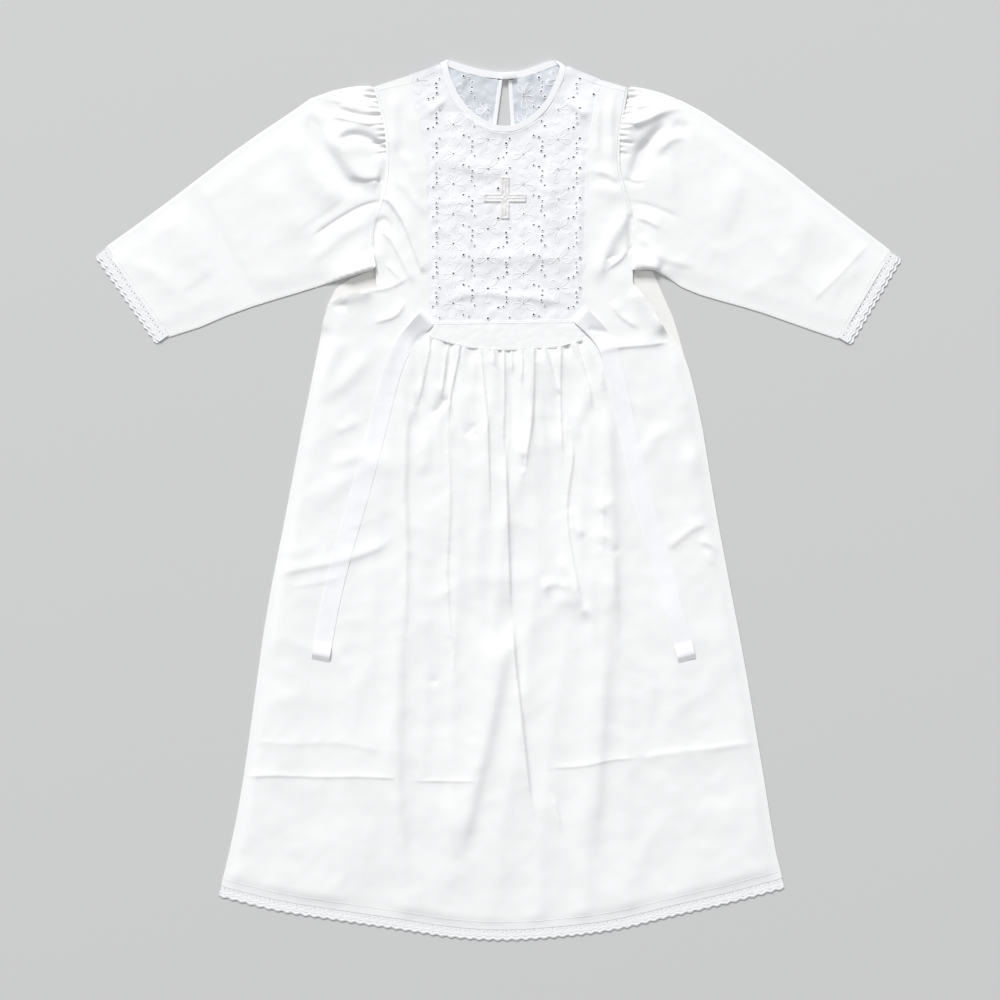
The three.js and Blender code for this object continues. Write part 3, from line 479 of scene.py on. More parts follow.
SLEEVE_FOLDS_LEFT = (
    Fold(3.8, 28.0, ((356, 108), (366, 130), (370, 160)), 22.0, 20, 2.0),
    # the creases and puffs of the head
    Fold(-2.0, 4.5, ((316, 99), (332, 103), (347, 105)), 1.2, 10),
    Fold(-3.6, 5.5, ((321, 102), (340, 109), (362, 115), (386, 117)), 2.0, 10, 1.4),
    Fold(2.0, 5.0, ((384, 128), (356, 122), (330, 116)), 1.6, 12),
    Fold(-4.4, 7.0, ((337, 142), (352, 135), (370, 139), (390, 153)), 3.0, 12, 1.4, 8.0),
    Fold(-5.6, 4.8, ((309, 112), (318, 138), (331, 160), (346, 182), (364, 192)), 4.0, 20, 1.4),
    Fold(4.0, 13.0, ((380, 183), (358, 176), (342, 154), (330, 132)), 5.0, 16, 1.6, 4.0),
    Fold(1.6, 12.0, ((352, 158), (368, 158), (386, 166)), 12.0, 14, 2.0),
    Fold(-2.2, 4.0, ((350, 178), (364, 182), (384, 180)), 1.6, 8),
    Fold(2.4, 12.0, ((292, 128), (304, 158), (323, 188), (346, 206)), 7.0, 24, 1.8),
    # creases drawn to the seam
    Fold(-1.4, 4.5, ((312, 237), (338, 219), (362, 206), (384, 200)), 1.1, 14, 1.2),
    Fold(1.0, 8.0, ((374, 222), (352, 230), (326, 250), (306, 266)), 4.0, 22, 1.5),
    Fold(0.7, 7.0, ((372, 238), (358, 252), (346, 270)), 4.0, 12, 1.5),
    Fold(-0.6, 5.0, ((300, 232), (326, 214), (346, 200)), 2.4, 12, 1.5),
    # the free edge stands up at the underarm
    Fold(6.0, 9.0, ((378, 265), (358, 271), (334, 281)), None, 20, 1.8, 0.0),
    # the pressed fold and soft waves
    Fold(-2.6, 12.0, ((190, 178), (214, 224), (237, 268), (260, 308)), 3.4, 8, 1.2),
    Fold(1.8, 16.0, ((262, 172), (286, 206), (300, 246)), 12.0, 30, 1.8),
    Fold(1.6, 14.0, ((160, 206), (186, 236), (200, 282)), 12.0, 30, 1.8),
    Fold(1.0, 8.0, ((128, 262), (160, 276), (176, 300)), 7.0, 20, 1.8),
    Fold(0.7, 9.0, ((214, 262), (196, 280), (176, 292)), 5.0, 14, 1.8),
)
SLEEVE_FOLDS_RIGHT = (
    Fold(3.8, 22.0, ((646, 108), (638, 128), (632, 154)), 28.0, 20, 2.0),
    # the creases and puffs of the head
    Fold(1.5, 6.0, ((676, 97), (648, 97), (628, 101)), 1.6, 16),
    Fold(1.8, 6.0, ((682, 104), (652, 105), (624, 112)), 1.6, 16),
    Fold(4.6, 7.0, ((694, 116), (682, 108), (664, 112), (646, 121), (622, 129)), 2.6, 14, 1.4),
    Fold(-5.4, 7.0, ((632, 182), (638, 162), (647, 144), (666, 122)), 4.6, 14, 1.5),
    Fold(1.8, 7.0, ((686, 138), (670, 142), (656, 156)), 2.4, 12),
    Fold(-2.0, 7.0, ((672, 122), (682, 127), (692, 128)), 5.0, 8, 1.8),
    Fold(1.6, 12.0, ((664, 150), (670, 176), (672, 206)), 6.0, 24, 1.8),
    Fold(-1.6, 4.0, ((646, 184), (634, 184), (622, 178)), 1.8, 8),
    # creases drawn to the seam
    Fold(1.4, 6.0, ((662, 262), (650, 248), (637, 236)), 2.4, 10),
    Fold(1.4, 6.0, ((662, 230), (648, 222), (634, 217)), 1.6, 10),
    Fold(1.2, 7.0, ((700, 268), (672, 262), (640, 252)), 2.4, 18, 1.5),
    Fold(-0.8, 5.0, ((626, 202), (650, 206), (684, 220)), 2.0, 16, 1.5),
    # the free edge stands up at the underarm
    Fold(6.0, 9.0, ((632, 265), (648, 266), (662, 272)), None, 10, 1.8, 0.0),
    # the pressed fold and soft waves
    Fold(0.9, 8.0, ((874, 238), (842, 272), (811, 303)), 2.2, 14, 1.2),
    Fold(1.8, 16.0, ((742, 164), (730, 202), (716, 244)), 10.0, 30, 1.8),
    Fold(1.4, 16.0, ((820, 204), (798, 240), (780, 286)), 12.0, 30, 1.8),
    Fold(1.0, 8.0, ((866, 262), (840, 280), (826, 308)), 7.0, 20, 1.8),
    Fold(0.6, 9.0, ((790, 262), (770, 246), (756, 226)), 5.0, 14, 1.8),
)


TIE_TURN_LEFT = (
    Fold(1.4, 9.0, ((426, 300), (407, 323), (393, 346), (384, 376), (378, 404)), None, 46, 1.6, 4.0),
    Fold(-1.0, 2.4, ((433, 331), (420, 338), (410, 355)), 2.4, 8, 1.6),
)
TIE_TURN_RIGHT = (
    Fold(1.2, 8.0, ((572, 322), (589, 338), (599, 358), (606, 386)), None, 30, 1.6, 4.0),
    Fold(-1.0, 2.4, ((586, 329), (612, 334), (616, 344)), 2.4, 6, 1.6),
)


HEAD_GATHERS = 12
HEAD_GATHERS_FROM = 93.0  # how far down the board the first one is
HEAD_GATHERS_PITCH = 5.4


def head_gathers(armhole: Path, out: int) -> tuple[Fold, ...]:
    """Draw the small gathers of a sleeve's head.

    Args:
        armhole: the armhole's seam.
        out: -1 for the left sleeve and 1 for the right one.

    Returns:
        A fold for each gather, at right angles to the seam.
    """
    line = rounded(armhole)
    furrows = []
    for i in range(HEAD_GATHERS):
        y = HEAD_GATHERS_FROM + HEAD_GATHERS_PITCH * i
        x = float(np.interp(y, line[:, 1], line[:, 0]))
        reach = 12 + 5 * math.sin(2.3 * i)
        lean = 0.16 * (i - 4)
        path = ((x - out * 2, y), (x + out * reach, y + lean * reach / 5))
        furrows.append(Fold(-2.2 - 0.5 * math.sin(1.7 * i), 1.3, path, None, 8, 1.5, 0.0))
    return tuple(furrows)


# ---- The drape -------------------------------------------------------------------------------------
FRONT_BASE = 3.0  # how high the upper face of the front's cloth lies where it is flat
SLEEVE_BASE = 1.8
BODICE_AIR = 2.0  # how much higher the cloth stands over the bodice
BODICE_CENTRE = (505.0, 170.5)
BODICE_REACH = 190.0
UNEVENNESS = (  # of laid cotton: its kind, its share, the size of its waves, its seed and its stretch
    (crumple, 1.0, 70.0, 0.0, 1.8),
    (crumple, 0.28, 17.0, 5.0, 1.0),
    (ridges, 0.7, 58.0, 11.0, 1.0),
    (ridges, 0.22, 23.0, 17.0, 1.0),
)
PUCKER_SIZE = 9.0
SOFTENING = 0.25  # how softly cloth comes to rest at its least height


@dataclass(frozen=True)
class Drape:
    """How high the upper face of some cloth stands over each place on the board."""

    folds: tuple[Fold, ...]
    base: float = FRONT_BASE
    air: float = BODICE_AIR
    uneven: float = 0.35
    seed: float = 0.0
    held_down: tuple[Path, ...] = ()  # seams that hold the cloth down beside them
    held_to: float = 1.3
    held_over: float = 9.0
    least: float = 1.25  # the height it rests at where nothing holds it up
    pucker: float = 0.0  # height of the small puckers that stitching draws the cloth into
    fan: float = 0.0  # height of the skirt's long folds, which fan out towards the hem

    def heights(self, places: np.ndarray) -> np.ndarray:
        """Work out how high the cloth's upper face is.

        Args:
            places: rows of x and y on the board.

        Returns:
            The height over each place, in millimetres.
        """
        away = np.hypot(places[:, 0] - BODICE_CENTRE[0], places[:, 1] - BODICE_CENTRE[1]) / BODICE_REACH
        height = self.base + self.air * np.exp(-(away**4))
        for fold in self.folds:
            height = height + fold.rise(places)
        if self.uneven:
            for kind, share, size, seed, stretch in UNEVENNESS:
                height = height + kind(places, self.uneven * share, size, self.seed + seed, stretch)
        if self.pucker:
            height = height + crumple(places, self.pucker, PUCKER_SIZE, self.seed + 21)
        if self.fan:
            height = height + self.fanned(places)
        for path in self.held_down:
            near = nearness(places, rounded(path))
            share = smoothstep(near.away / self.held_over)
            height = self.held_to + (height - self.held_to) * share
        above = height - self.least
        return self.least + (above + np.hypot(above, SOFTENING)) / 2

    def fanned(self, places: np.ndarray) -> np.ndarray:
        """Work out the skirt's long folds, wide ones to the hem and fine ones under the band.

        Args:
            places: rows of x and y on the board.

        Returns:
            How much they add over each place, in millimetres.
        """
        left, right = rounded(LEFT_SIDE), rounded(RIGHT_SIDE)
        down = places[:, 1]
        low = np.interp(down, left[:, 1], left[:, 0])
        high = np.interp(down, right[:, 1], right[:, 0])
        share = (places[:, 0] - low) / (high - low)
        flat = np.column_stack([share * 420, down])  # as if the skirt were as wide all the way down
        middle = np.exp(-(((share - 0.5) / 0.3) ** 4))
        reach = smoothstep((down - 330) / 24) * (1 - 0.55 * smoothstep((down - 640) / 240))
        wide = ridges(flat, self.fan, 34.0, 3.0, 9.0) - 0.5 * self.fan
        fine = ridges(flat, self.fan * 0.5, 12.0, 9.0, 6.0) * (1 - smoothstep((down - 380) / 160))
        return (wide + fine) * middle * reach


# ---- Outlines --------------------------------------------------------------------------------------
WELD = 2e-6  # in metres: vertices of a solid this close are one


class Facing(Enum):
    """Which faces of a solid are taken: those whose normal's z is at least this."""

    UP = 0.2
    FLAT_UP = 0.95


@dataclass
class Outline:
    """The edge of a piece as it lies, as a closed line on the board."""

    points: np.ndarray

    def __post_init__(self) -> None:
        """Work out which way is out at each segment."""
        self.closed = np.vstack([self.points, self.points[:1]])
        step = np.diff(self.closed, axis=0)
        size = np.maximum(np.hypot(step[:, 0], step[:, 1]), TINY)[:, None]
        self.out = np.column_stack([step[:, 1], -step[:, 0]]) / size
        middle = (self.closed[:-1] + self.closed[1:]) / 2
        inward = self.holds(middle + self.out * 0.05)
        self.out[inward] *= -1

    @classmethod
    def of_node(cls, node: str, facing: Facing = Facing.UP) -> "Outline":
        """Return the outline of the upper face of a solid.

        Args:
            node: the name of the solid.
            facing: which of its faces count as its upper face.

        Returns:
            The longest closed line round those faces.
        """
        bm = bmesh.new()
        bm.from_mesh(bpy.data.objects[node].data)
        bmesh.ops.remove_doubles(bm, verts=bm.verts, dist=WELD)
        bm.normal_update()
        bmesh.ops.delete(bm, geom=[f for f in bm.faces if f.normal.z < facing.value], context="FACES")
        loops, seen = [], set()
        for edge in bm.edges:
            if not edge.is_boundary or edge in seen:
                continue
            seen.add(edge)
            first, at = edge.verts
            loop = [first.co.copy(), at.co.copy()]
            while at is not first:
                onward = [e for e in at.link_edges if e.is_boundary and e not in seen]
                if not onward:
                    break
                seen.add(onward[0])
                at = onward[0].other_vert(at)
                loop.append(at.co.copy())
            loops.append(loop[:-1])
        bm.free()
        longest = max(loops, key=lambda loop: sum((a - b).length for a, b in zip(loop, loop[1:])))
        return cls(on_board(np.array([tuple(co) for co in longest])))

    def holds(self, places: np.ndarray) -> np.ndarray:
        """Tell whether places lie inside the outline.

        Args:
            places: rows of x and y on the board.

        Returns:
            True or False for each place.
        """
        inside = np.zeros(len(places), bool)
        x, y = places[:, 0], places[:, 1]
        for a, b in zip(self.closed, self.closed[1:]):
            if a[1] == b[1]:
                continue
            spans = (a[1] > y) != (b[1] > y)
            inside ^= spans & (x < (b[0] - a[0]) * (y - a[1]) / (b[1] - a[1]) + a[0])
        return inside

    def area(self) -> float:
        """Return the area inside, in square metres."""
        x, y = self.closed[:, 0], self.closed[:, 1]
        return abs(float(np.sum(x[:-1] * y[1:] - x[1:] * y[:-1]))) / 2 * MM * MM

    def size(self) -> tuple[float, float]:
        """Return the width and the length of the box round it, in metres."""
        width, length = np.ptp(self.points, axis=0) * MM
        return float(width), float(length)


# ---- Meshes ----------------------------------------------------------------------------------------
def places_of(verts: list[bmesh.types.BMVert]) -> np.ndarray:
    """Return the places of some vertices on the board."""
    return on_board(np.array([(v.co.x, v.co.y) for v in verts]))


def places_of_faces(faces: list[bmesh.types.BMFace]) -> np.ndarray:
    """Return the places of the middles of some faces on the board."""
    return on_board(np.array([f.calc_center_median()[:2] for f in faces]))


def point_at(place: np.ndarray, height: float) -> Vector:
    """Return one place on the board, with its height in millimetres, as a point of the frame."""
    return Vector(metres(np.array([place]), np.array([height]))[0])


def cut_cloth(outline: Outline, cell: float, grow: float = 0.0) -> bmesh.types.BMesh:
    """Cut a flat piece of cloth as an even net of cells.

    Args:
        outline: the edge to cut to.
        cell: the size of a cell in millimetres.
        grow: how far past the outline the cloth reaches, as under a seam.

    Returns:
        The flat net, at height 0.
    """
    low, high = outline.points.min(axis=0) - cell, outline.points.max(axis=0) + cell
    across, down = (max(2, round(v)) for v in (high - low) / cell)
    bm = bmesh.new()
    bmesh.ops.create_grid(bm, x_segments=across, y_segments=down, size=0.5)
    bmesh.ops.scale(bm, vec=(*(high - low) * MM, 1.0), verts=bm.verts)
    bmesh.ops.translate(bm, vec=point_at((low + high) / 2, 0.0), verts=bm.verts)
    keep = outline.holds(places_of_faces(list(bm.faces)))
    bmesh.ops.delete(bm, geom=[f for f, inside in zip(bm.faces, keep) if not inside], context="FACES")
    rim = [v for v in bm.verts if v.is_boundary]
    near = nearness(places_of(rim), outline.closed)
    edge = metres(near.nearest + outline.out[near.segment] * grow, np.zeros(len(rim)))
    for vert, co in zip(rim, edge):
        vert.co = co
    inner = [v for v in bm.verts if not v.is_boundary]
    for _ in range(4):
        bmesh.ops.smooth_vert(bm, verts=inner, factor=0.5, use_axis_x=True, use_axis_y=True)
    return bm


def refine(bm: bmesh.types.BMesh, folds: tuple[Fold, ...], cell: float, levels: int = 2) -> None:
    """Split the cells of some cloth where its folds are too narrow for them.

    Args:
        bm: the cloth, still flat.
        folds: the folds it will get.
        cell: the size of its cells in millimetres.
        levels: how often cells may be halved.
    """
    for size in (cell / 2**level for level in range(levels)):
        edges = list(bm.edges)
        middles = on_board(np.array([tuple((e.verts[0].co + e.verts[1].co) / 2) for e in edges]))
        chosen = np.zeros(len(edges), bool)
        for fold in folds:
            if fine_side(fold) > 1.05 * size:
                continue
            line = rounded(fold.path)
            reach = 1.3 * fine_side(fold) + 0.6 * size
            low, high = line.min(axis=0) - reach, line.max(axis=0) + reach
            close = np.all((middles > low) & (middles < high), axis=1)
            if close.any():
                chosen[np.flatnonzero(close)[nearness(middles[close], line).away < reach]] = True
        split = [edge for edge, wanted in zip(edges, chosen) if wanted]
        if split:
            bmesh.ops.subdivide_edges(bm, edges=split, cuts=1, use_grid_fill=True)


def lift(verts: list[bmesh.types.BMVert], heights: np.ndarray) -> None:
    """Set the heights of some vertices, in millimetres."""
    for vert, height in zip(verts, heights):
        vert.co.z = height * MM


def face_up(bm: bmesh.types.BMesh) -> None:
    """Turn the faces of some cloth to one side, so that the highest of them faces up.

    Args:
        bm: the cloth, which is changed.
    """
    bmesh.ops.recalc_face_normals(bm, faces=bm.faces)
    bm.normal_update()
    if max(bm.faces, key=lambda f: f.calc_center_median().z).normal.z < 0:
        bmesh.ops.reverse_faces(bm, faces=bm.faces)


def placed(name: str, data: bpy.types.ID) -> bpy.types.Object:
    """Make an object of some data and put it in the scene."""
    made = bpy.data.objects.new(name, data)
    bpy.context.scene.collection.objects.link(made)
    return made


def object_of(name: str, bm: bmesh.types.BMesh, finish: "Surface") -> bpy.types.Object:
    """Make an object of a bmesh, which is freed.

    Args:
        name: the piece's name.
        bm: its shape, in the frame's metres.
        finish: what it is made of.

    Returns:
        The object, at the origin, riding on the shirt.
    """
    mesh = bpy.data.meshes.new(name)
    bm.normal_update()
    for face in bm.faces:
        face.smooth = True
    for edge in bm.edges:
        edge.smooth = not edge.is_boundary
    bm.to_mesh(mesh)
    bm.free()
    piece = placed(name, mesh)
    piece.data.materials.append(finish.material())
    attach(piece, BODY)
    return piece


def thicken(piece: bpy.types.Object, thickness: float) -> None:
    """Give a sheet its thickness, below its upper face.

    Args:
        piece: the sheet.
        thickness: how thick it is, in millimetres.
    """
    solid = piece.modifiers.new("thickness", "SOLIDIFY")
    solid.thickness = thickness * MM
    solid.offset = -1.0
    solid.use_even_offset = False
    solid.use_quality_normals = True


def round_off(piece: bpy.types.Object, levels: int) -> None:
    """Round a piece's shape off, in some levels of smaller faces."""
    rounder = piece.modifiers.new("rounding", "SUBSURF")
    rounder.levels = rounder.render_levels = levels


def threads(
    name: str, runs: list[np.ndarray], radius: float, finish: "Surface",
    closed: bool = False, round_: int = 0,
) -> bpy.types.Object:
    """Make a piece of threads.

    Args:
        name: the piece's name.
        runs: one array of x, y and z, in metres, for each thread.
        radius: a thread's radius in millimetres.
        finish: what it is made of.
        closed: whether each thread is a ring.
        round_: 0 for four sides, more for rounder threads.

    Returns:
        The piece, as a mesh.
    """
    curve = bpy.data.curves.new(name, "CURVE")
    curve.dimensions = "3D"
    curve.bevel_depth = radius * MM
    curve.bevel_resolution = round_
    curve.use_fill_caps = True
    for run in runs:
        spline = curve.splines.new("POLY")
        spline.points.add(len(run) - 1)
        spline.points.foreach_set("co", np.column_stack([run, np.ones(len(run))]).ravel())
        spline.use_cyclic_u = closed
    holder = placed(name + "_run", curve)
    bpy.context.view_layer.update()
    mesh = bpy.data.meshes.new_from_object(holder.evaluated_get(bpy.context.evaluated_depsgraph_get()))
    bpy.data.objects.remove(holder)
    bpy.data.curves.remove(curve)
    bm = bmesh.new()
    bm.from_mesh(mesh)
    bpy.data.meshes.remove(mesh)
    bmesh.ops.recalc_face_normals(bm, faces=bm.faces)
    return object_of(name, bm, finish)


# ---- Finishes --------------------------------------------------------------------------------------
def linear(colour: str) -> tuple[float, float, float, float]:
    """Turn an sRGB colour, such as "#F4F4F2", to linear values with full cover."""
    values = [int(colour[i : i + 2], 16) / 255 for i in (1, 3, 5)]
    return (*(v / 12.92 if v <= 0.04045 else ((v + 0.055) / 1.055) ** 2.4 for v in values), 1.0)


def add(
    tree: bpy.types.NodeTree, kind: str, links: dict | None = None, **settings: object
) -> bpy.types.Node:
    """Add a node to a material.

    Args:
        tree: the material's nodes.
        kind: the node's type, without "ShaderNode".
        links: for an input's name or number, either a value or another node's output.
        settings: the node's own settings.

    Returns:
        The node.
    """
    node = tree.nodes.new("ShaderNode" + kind)
    for name, value in settings.items():
        setattr(node, name, value)
    for name, value in (links or {}).items():
        if isinstance(value, bpy.types.NodeSocket):
            tree.links.new(value, node.inputs[name])
        else:
            node.inputs[name].default_value = value
    return node


@dataclass(frozen=True)
class Surface:
    """What a piece is made of."""

    name: str

    def material(self) -> bpy.types.Material:
        """Make the surface's material, if that hasn't been done.

        Returns:
            The material, which has the surface's name.
        """
        found = bpy.data.materials.get(self.name)
        if found:
            return found
        material = bpy.data.materials.new(self.name)
        material.use_nodes = True
        tree = material.node_tree
        tree.nodes.clear()
        shader = self.shader(tree, add(tree, "TexCoord").outputs["Object"])
        add(tree, "OutputMaterial", {"Surface": shader.outputs[0]})
        return material

    def shader(self, tree: bpy.types.NodeTree, place: bpy.types.NodeSocket) -> bpy.types.Node:
        """Return the shader, whose nodes take their places from the object's own coordinates."""
        raise NotImplementedError


@dataclass(frozen=True)
class Finish(Surface):
    """A white textile: its colours, the spacing of its threads and how it takes the light."""

    light: str  # the threads' own colour
    dark: str  # the colour between them
    pitch: float  # spacing of the threads in millimetres
    relief: float  # how strongly the threads stand out
    roughness: float
    sheen: float
    turn: float = 0.0  # how far the weave is turned, in degrees

    def weave(self, tree: bpy.types.NodeTree, where: bpy.types.NodeSocket) -> bpy.types.NodeSocket:
        """Make the weave, of even threads both ways.

        Args:
            tree: the material's nodes.
            where: the place on the cloth.

        Returns:
            The height of the threads.
        """
        wave = {
            "Vector": where, "Scale": self.wave_scale(), "Distortion": 0.6,
            "Detail": 1.0, "Detail Scale": 2.0,
        }
        warp, weft = (
            add(tree, "TexWave", wave, bands_direction=way, wave_profile="SIN").outputs["Fac"]
            for way in ("X", "Y")
        )
        return add(tree, "Math", {0: warp, 1: weft}, operation="MULTIPLY").outputs[0]

    def wave_scale(self) -> float:
        """Return the Wave Texture's scale for this pitch: a wave is pi / 10 long at scale 1."""
        return math.pi / 10 / (self.pitch * MM)

    def shader(self, tree: bpy.types.NodeTree, place: bpy.types.NodeSocket) -> bpy.types.Node:
        """Return the shader: the weave as relief, with slubs in it and a slightly uneven white.

        Args:
            tree: the material's nodes.
            place: the object's own coordinates.

        Returns:
            The shader's node.
        """
        turned = add(tree, "Mapping", {"Vector": place, "Rotation": (0, 0, math.radians(self.turn))})
        where = turned.outputs[0]
        height = self.weave(tree, where)
        slubs = add(tree, "TexNoise", {"Vector": where, "Scale": 160.0, "Detail": 3.0, "Roughness": 0.6})
        rise = add(tree, "Math", {0: slubs.outputs["Fac"], 1: 0.5, 2: height}, operation="MULTIPLY_ADD")
        bump = add(tree, "Bump", {"Height": rise.outputs[0], "Strength": self.relief, "Distance": 0.0003})
        wear = add(tree, "TexNoise", {"Vector": where, "Scale": 14.0, "Detail": 4.0, "Roughness": 0.55})
        share = add(tree, "Math", {0: wear.outputs["Fac"], 1: 0.6, 2: height}, operation="MULTIPLY_ADD")
        tone = add(tree, "ValToRGB", {"Fac": share.outputs[0]})
        tone.color_ramp.elements[0].color = linear(self.dark)
        tone.color_ramp.elements[1].color = linear(self.light)
        tone.color_ramp.elements[1].position = 0.75
        return add(
            tree, "BsdfPrincipled",
            {"Base Color": tone.outputs["Color"], "Roughness": self.roughness, "Normal": bump.outputs[0],
             "IOR": 1.53, "Specular IOR Level": 0.25, "Sheen Weight": self.sheen, "Sheen Roughness": 0.5},
        )


# Plain woven cotton, bleached: matt and very white, its 0.4 mm threads drawn 0.9 mm apart so that they
# show as a faint grain.
MUSLIN = Finish("bleached_cotton_muslin_woven", "#FBFBFB", "#F5F5F5", 0.9, 0.25, 0.92, 0.12)
# The inside of the back, which lies in the shade of the front: the unpressed face, with painted shade that
# makes it a little darker and warmer than the front's cloth.
INSIDE_PAINTED_SHADE = Finish("cotton_muslin_inner_face_painted_shade", "#F9F8F6", "#F3F2EF", 0.9, 0.25, 0.95, 0.05)
# The wrong side of the embroidered cloth, seen through the neck: painted shade makes it greyer and darker,
# for the shade that the front casts into the neck.
WRONG_SIDE_PAINTED_SHADE = Finish("embroidered_lawn_wrong_side_painted_shade", "#DDE1E7", "#CFD4DC", 0.8, 0.3, 0.95, 0.05)
# The same cotton in a finer weave, which looks faintly cooler beside it.
EYELET = Finish("embroidered_cotton_lawn_woven", "#F6F7FA", "#EEF0F4", 0.8, 0.22, 0.9, 0.12)
# A strip cut across the weave, pressed: its threads run at 45 degrees and it shines a little.
BIAS = Finish("cotton_bias_strip_pressed", "#F7F8FA", "#F0F1F4", 0.9, 0.2, 0.85, 0.16, 45.0)
# Looped cotton thread, which is soft and takes the light unevenly.
LACE = Finish("cotton_lace_looped", "#FAFAFB", "#F1F2F3", 0.8, 0.4, 0.9, 0.2)
# Cotton tape woven in zigzag ribs, smoother than the cloth under it.
TWILL = Finish("cotton_herringbone_tape", "#FCFCFE", "#F7F7FA", 1.4, 0.15, 0.8, 0.15)
# Laid mercerised thread: off-white and silky.
SATIN = Finish("mercerised_satin_stitch", "#F6F4F4", "#EBE8E9", 0.7, 0.6, 0.55, 0.3)
# Sewing thread, a little brighter than the cloth.
THREAD = Finish("cotton_sewing_thread", "#FFFFFF", "#F8F8FA", 0.4, 0.4, 0.7, 0.2)


@dataclass(frozen=True)
class PlainFinish(Surface):
    """A plain matt surface of one colour."""

    colour: str
    roughness: float = 1.0

    def shader(self, tree: bpy.types.NodeTree, place: bpy.types.NodeSocket) -> bpy.types.Node:
        """Make the surface, with a hardly visible grain.

        Args:
            tree: the material's nodes.
            place: the place on the piece.

        Returns:
            The shader.
        """
        grain = add(tree, "TexNoise", {"Vector": place, "Scale": 260.0, "Detail": 2.0})
        bump = add(tree, "Bump", {"Height": grain.outputs["Fac"], "Strength": 0.05, "Distance": 0.0002})
        return add(
            tree, "BsdfPrincipled",
            {"Base Color": linear(self.colour), "Roughness": self.roughness, "Normal": bump.outputs[0],
             "Specular IOR Level": 0.1},
        )


# The shade inside an eyelet, where the light hardly reaches, painted on a dark disc over the hole.
HOLLOW_PAINTED_SHADE = PlainFinish("eyelet_hollow_painted_shade", "#515157")
FLOOR = PlainFinish("matt_paper_floor", "#D0D0D0")


# ---- Cloth -----------------------------------------------------------------------------------------
EYELET_HOLE = 1.5  # from the middle to the corners of the hole in the cloth
EYELET_RADIUS = 0.86  # inside its sewn rim
TUCK_OVER = 2.6  # how far from a seam the tucked cloth rises to its own height
SEAM_SHARE = 1.02  # the cut's width and length, by the laid outline's
AREA_SHARE = 1.03


@dataclass
class LaidCloth:
    """A flat-cut piece of cloth, laid with its folds in the place of one solid."""

    name: str
    node: str
    slot: str
    finish: Finish
    drape: Drape
    cell: float  # the size of its net's cells, in millimetres
    thickness: float
    grow: float = 0.0  # how far it reaches past its outline, under the piece beside it
    tuck: float = 0.0  # how much lower its edge lies, under the piece beside it
    tuck_paths: tuple[Path, ...] = ()  # the seams where it is tucked in
    facing: Facing = Facing.UP
    other_side: Surface | None = None  # the finish of its lower face and its edge
    eyelets: tuple[tuple[float, float], ...] = ()
    flat: tuple[float, float] | None = None  # the cut's width and length in metres, if not its outline's
    area: float | None = None
    rests_on: tuple[str, ...] = ()

    def heights(self, places: np.ndarray) -> np.ndarray:
        """Work out the height of its upper face, with its edges tucked under.

        Args:
            places: rows of x and y on the board.

        Returns:
            The height over each place, in millimetres.
        """
        height = self.drape.heights(places)
        for path in self.tuck_paths:
            near = nearness(places, rounded(path))
            height = height - self.tuck * np.exp(-((near.away / TUCK_OVER) ** 2))
        return height

    def build(self) -> bpy.types.Object:
        """Cut the cloth, open its eyelets and lay it.

        Returns:
            The piece, which stands for its solid.
        """
        outline = Outline.of_node(self.node, self.facing)
        bm = cut_cloth(outline, self.cell, self.grow)
        refine(bm, self.drape.folds, self.cell)
        if self.eyelets:
            self.open_eyelets(bm)
        verts = list(bm.verts)
        lift(verts, self.heights(places_of(verts)))
        piece = object_of(self.name, bm, self.finish)
        thicken(piece, self.thickness)
        if self.other_side:
            piece.data.materials.append(self.other_side.material())
            solid = piece.modifiers["thickness"]
            solid.material_offset = solid.material_offset_rim = 1
        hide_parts(self.node)
        flat = self.flat or tuple(SEAM_SHARE * v for v in outline.size())
        area = self.area or min(outline.area() * AREA_SHARE, flat[0] * flat[1])
        count = len(piece.data.polygons)
        log.info("%s: %d faces, cut %.3f x %.3f m, %.4f m2", self.name, count, *flat, area)
        return piece

    def open_eyelets(self, bm: bmesh.types.BMesh) -> None:
        """Open a round hole for each eyelet, at the vertex nearest to it.

        Args:
            bm: the cloth, still flat.
        """
        inner = [v for v in bm.verts if not v.is_boundary]
        places = places_of(inner)
        chosen = []
        for eyelet in self.eyelets:
            away = np.hypot(*(places - eyelet).T)
            nearest = int(away.argmin())
            if away[nearest] > self.cell:
                continue
            inner[nearest].co = point_at(eyelet, 0.0)
            chosen.append(inner[nearest])
        made = bmesh.ops.bevel(
            bm, geom=chosen, offset=EYELET_HOLE * MM, offset_type="OFFSET", segments=2, profile=0.5,
            affect="VERTICES", material=-1, clamp_overlap=True,
        )
        bmesh.ops.delete(bm, geom=made["faces"], context="FACES_ONLY")


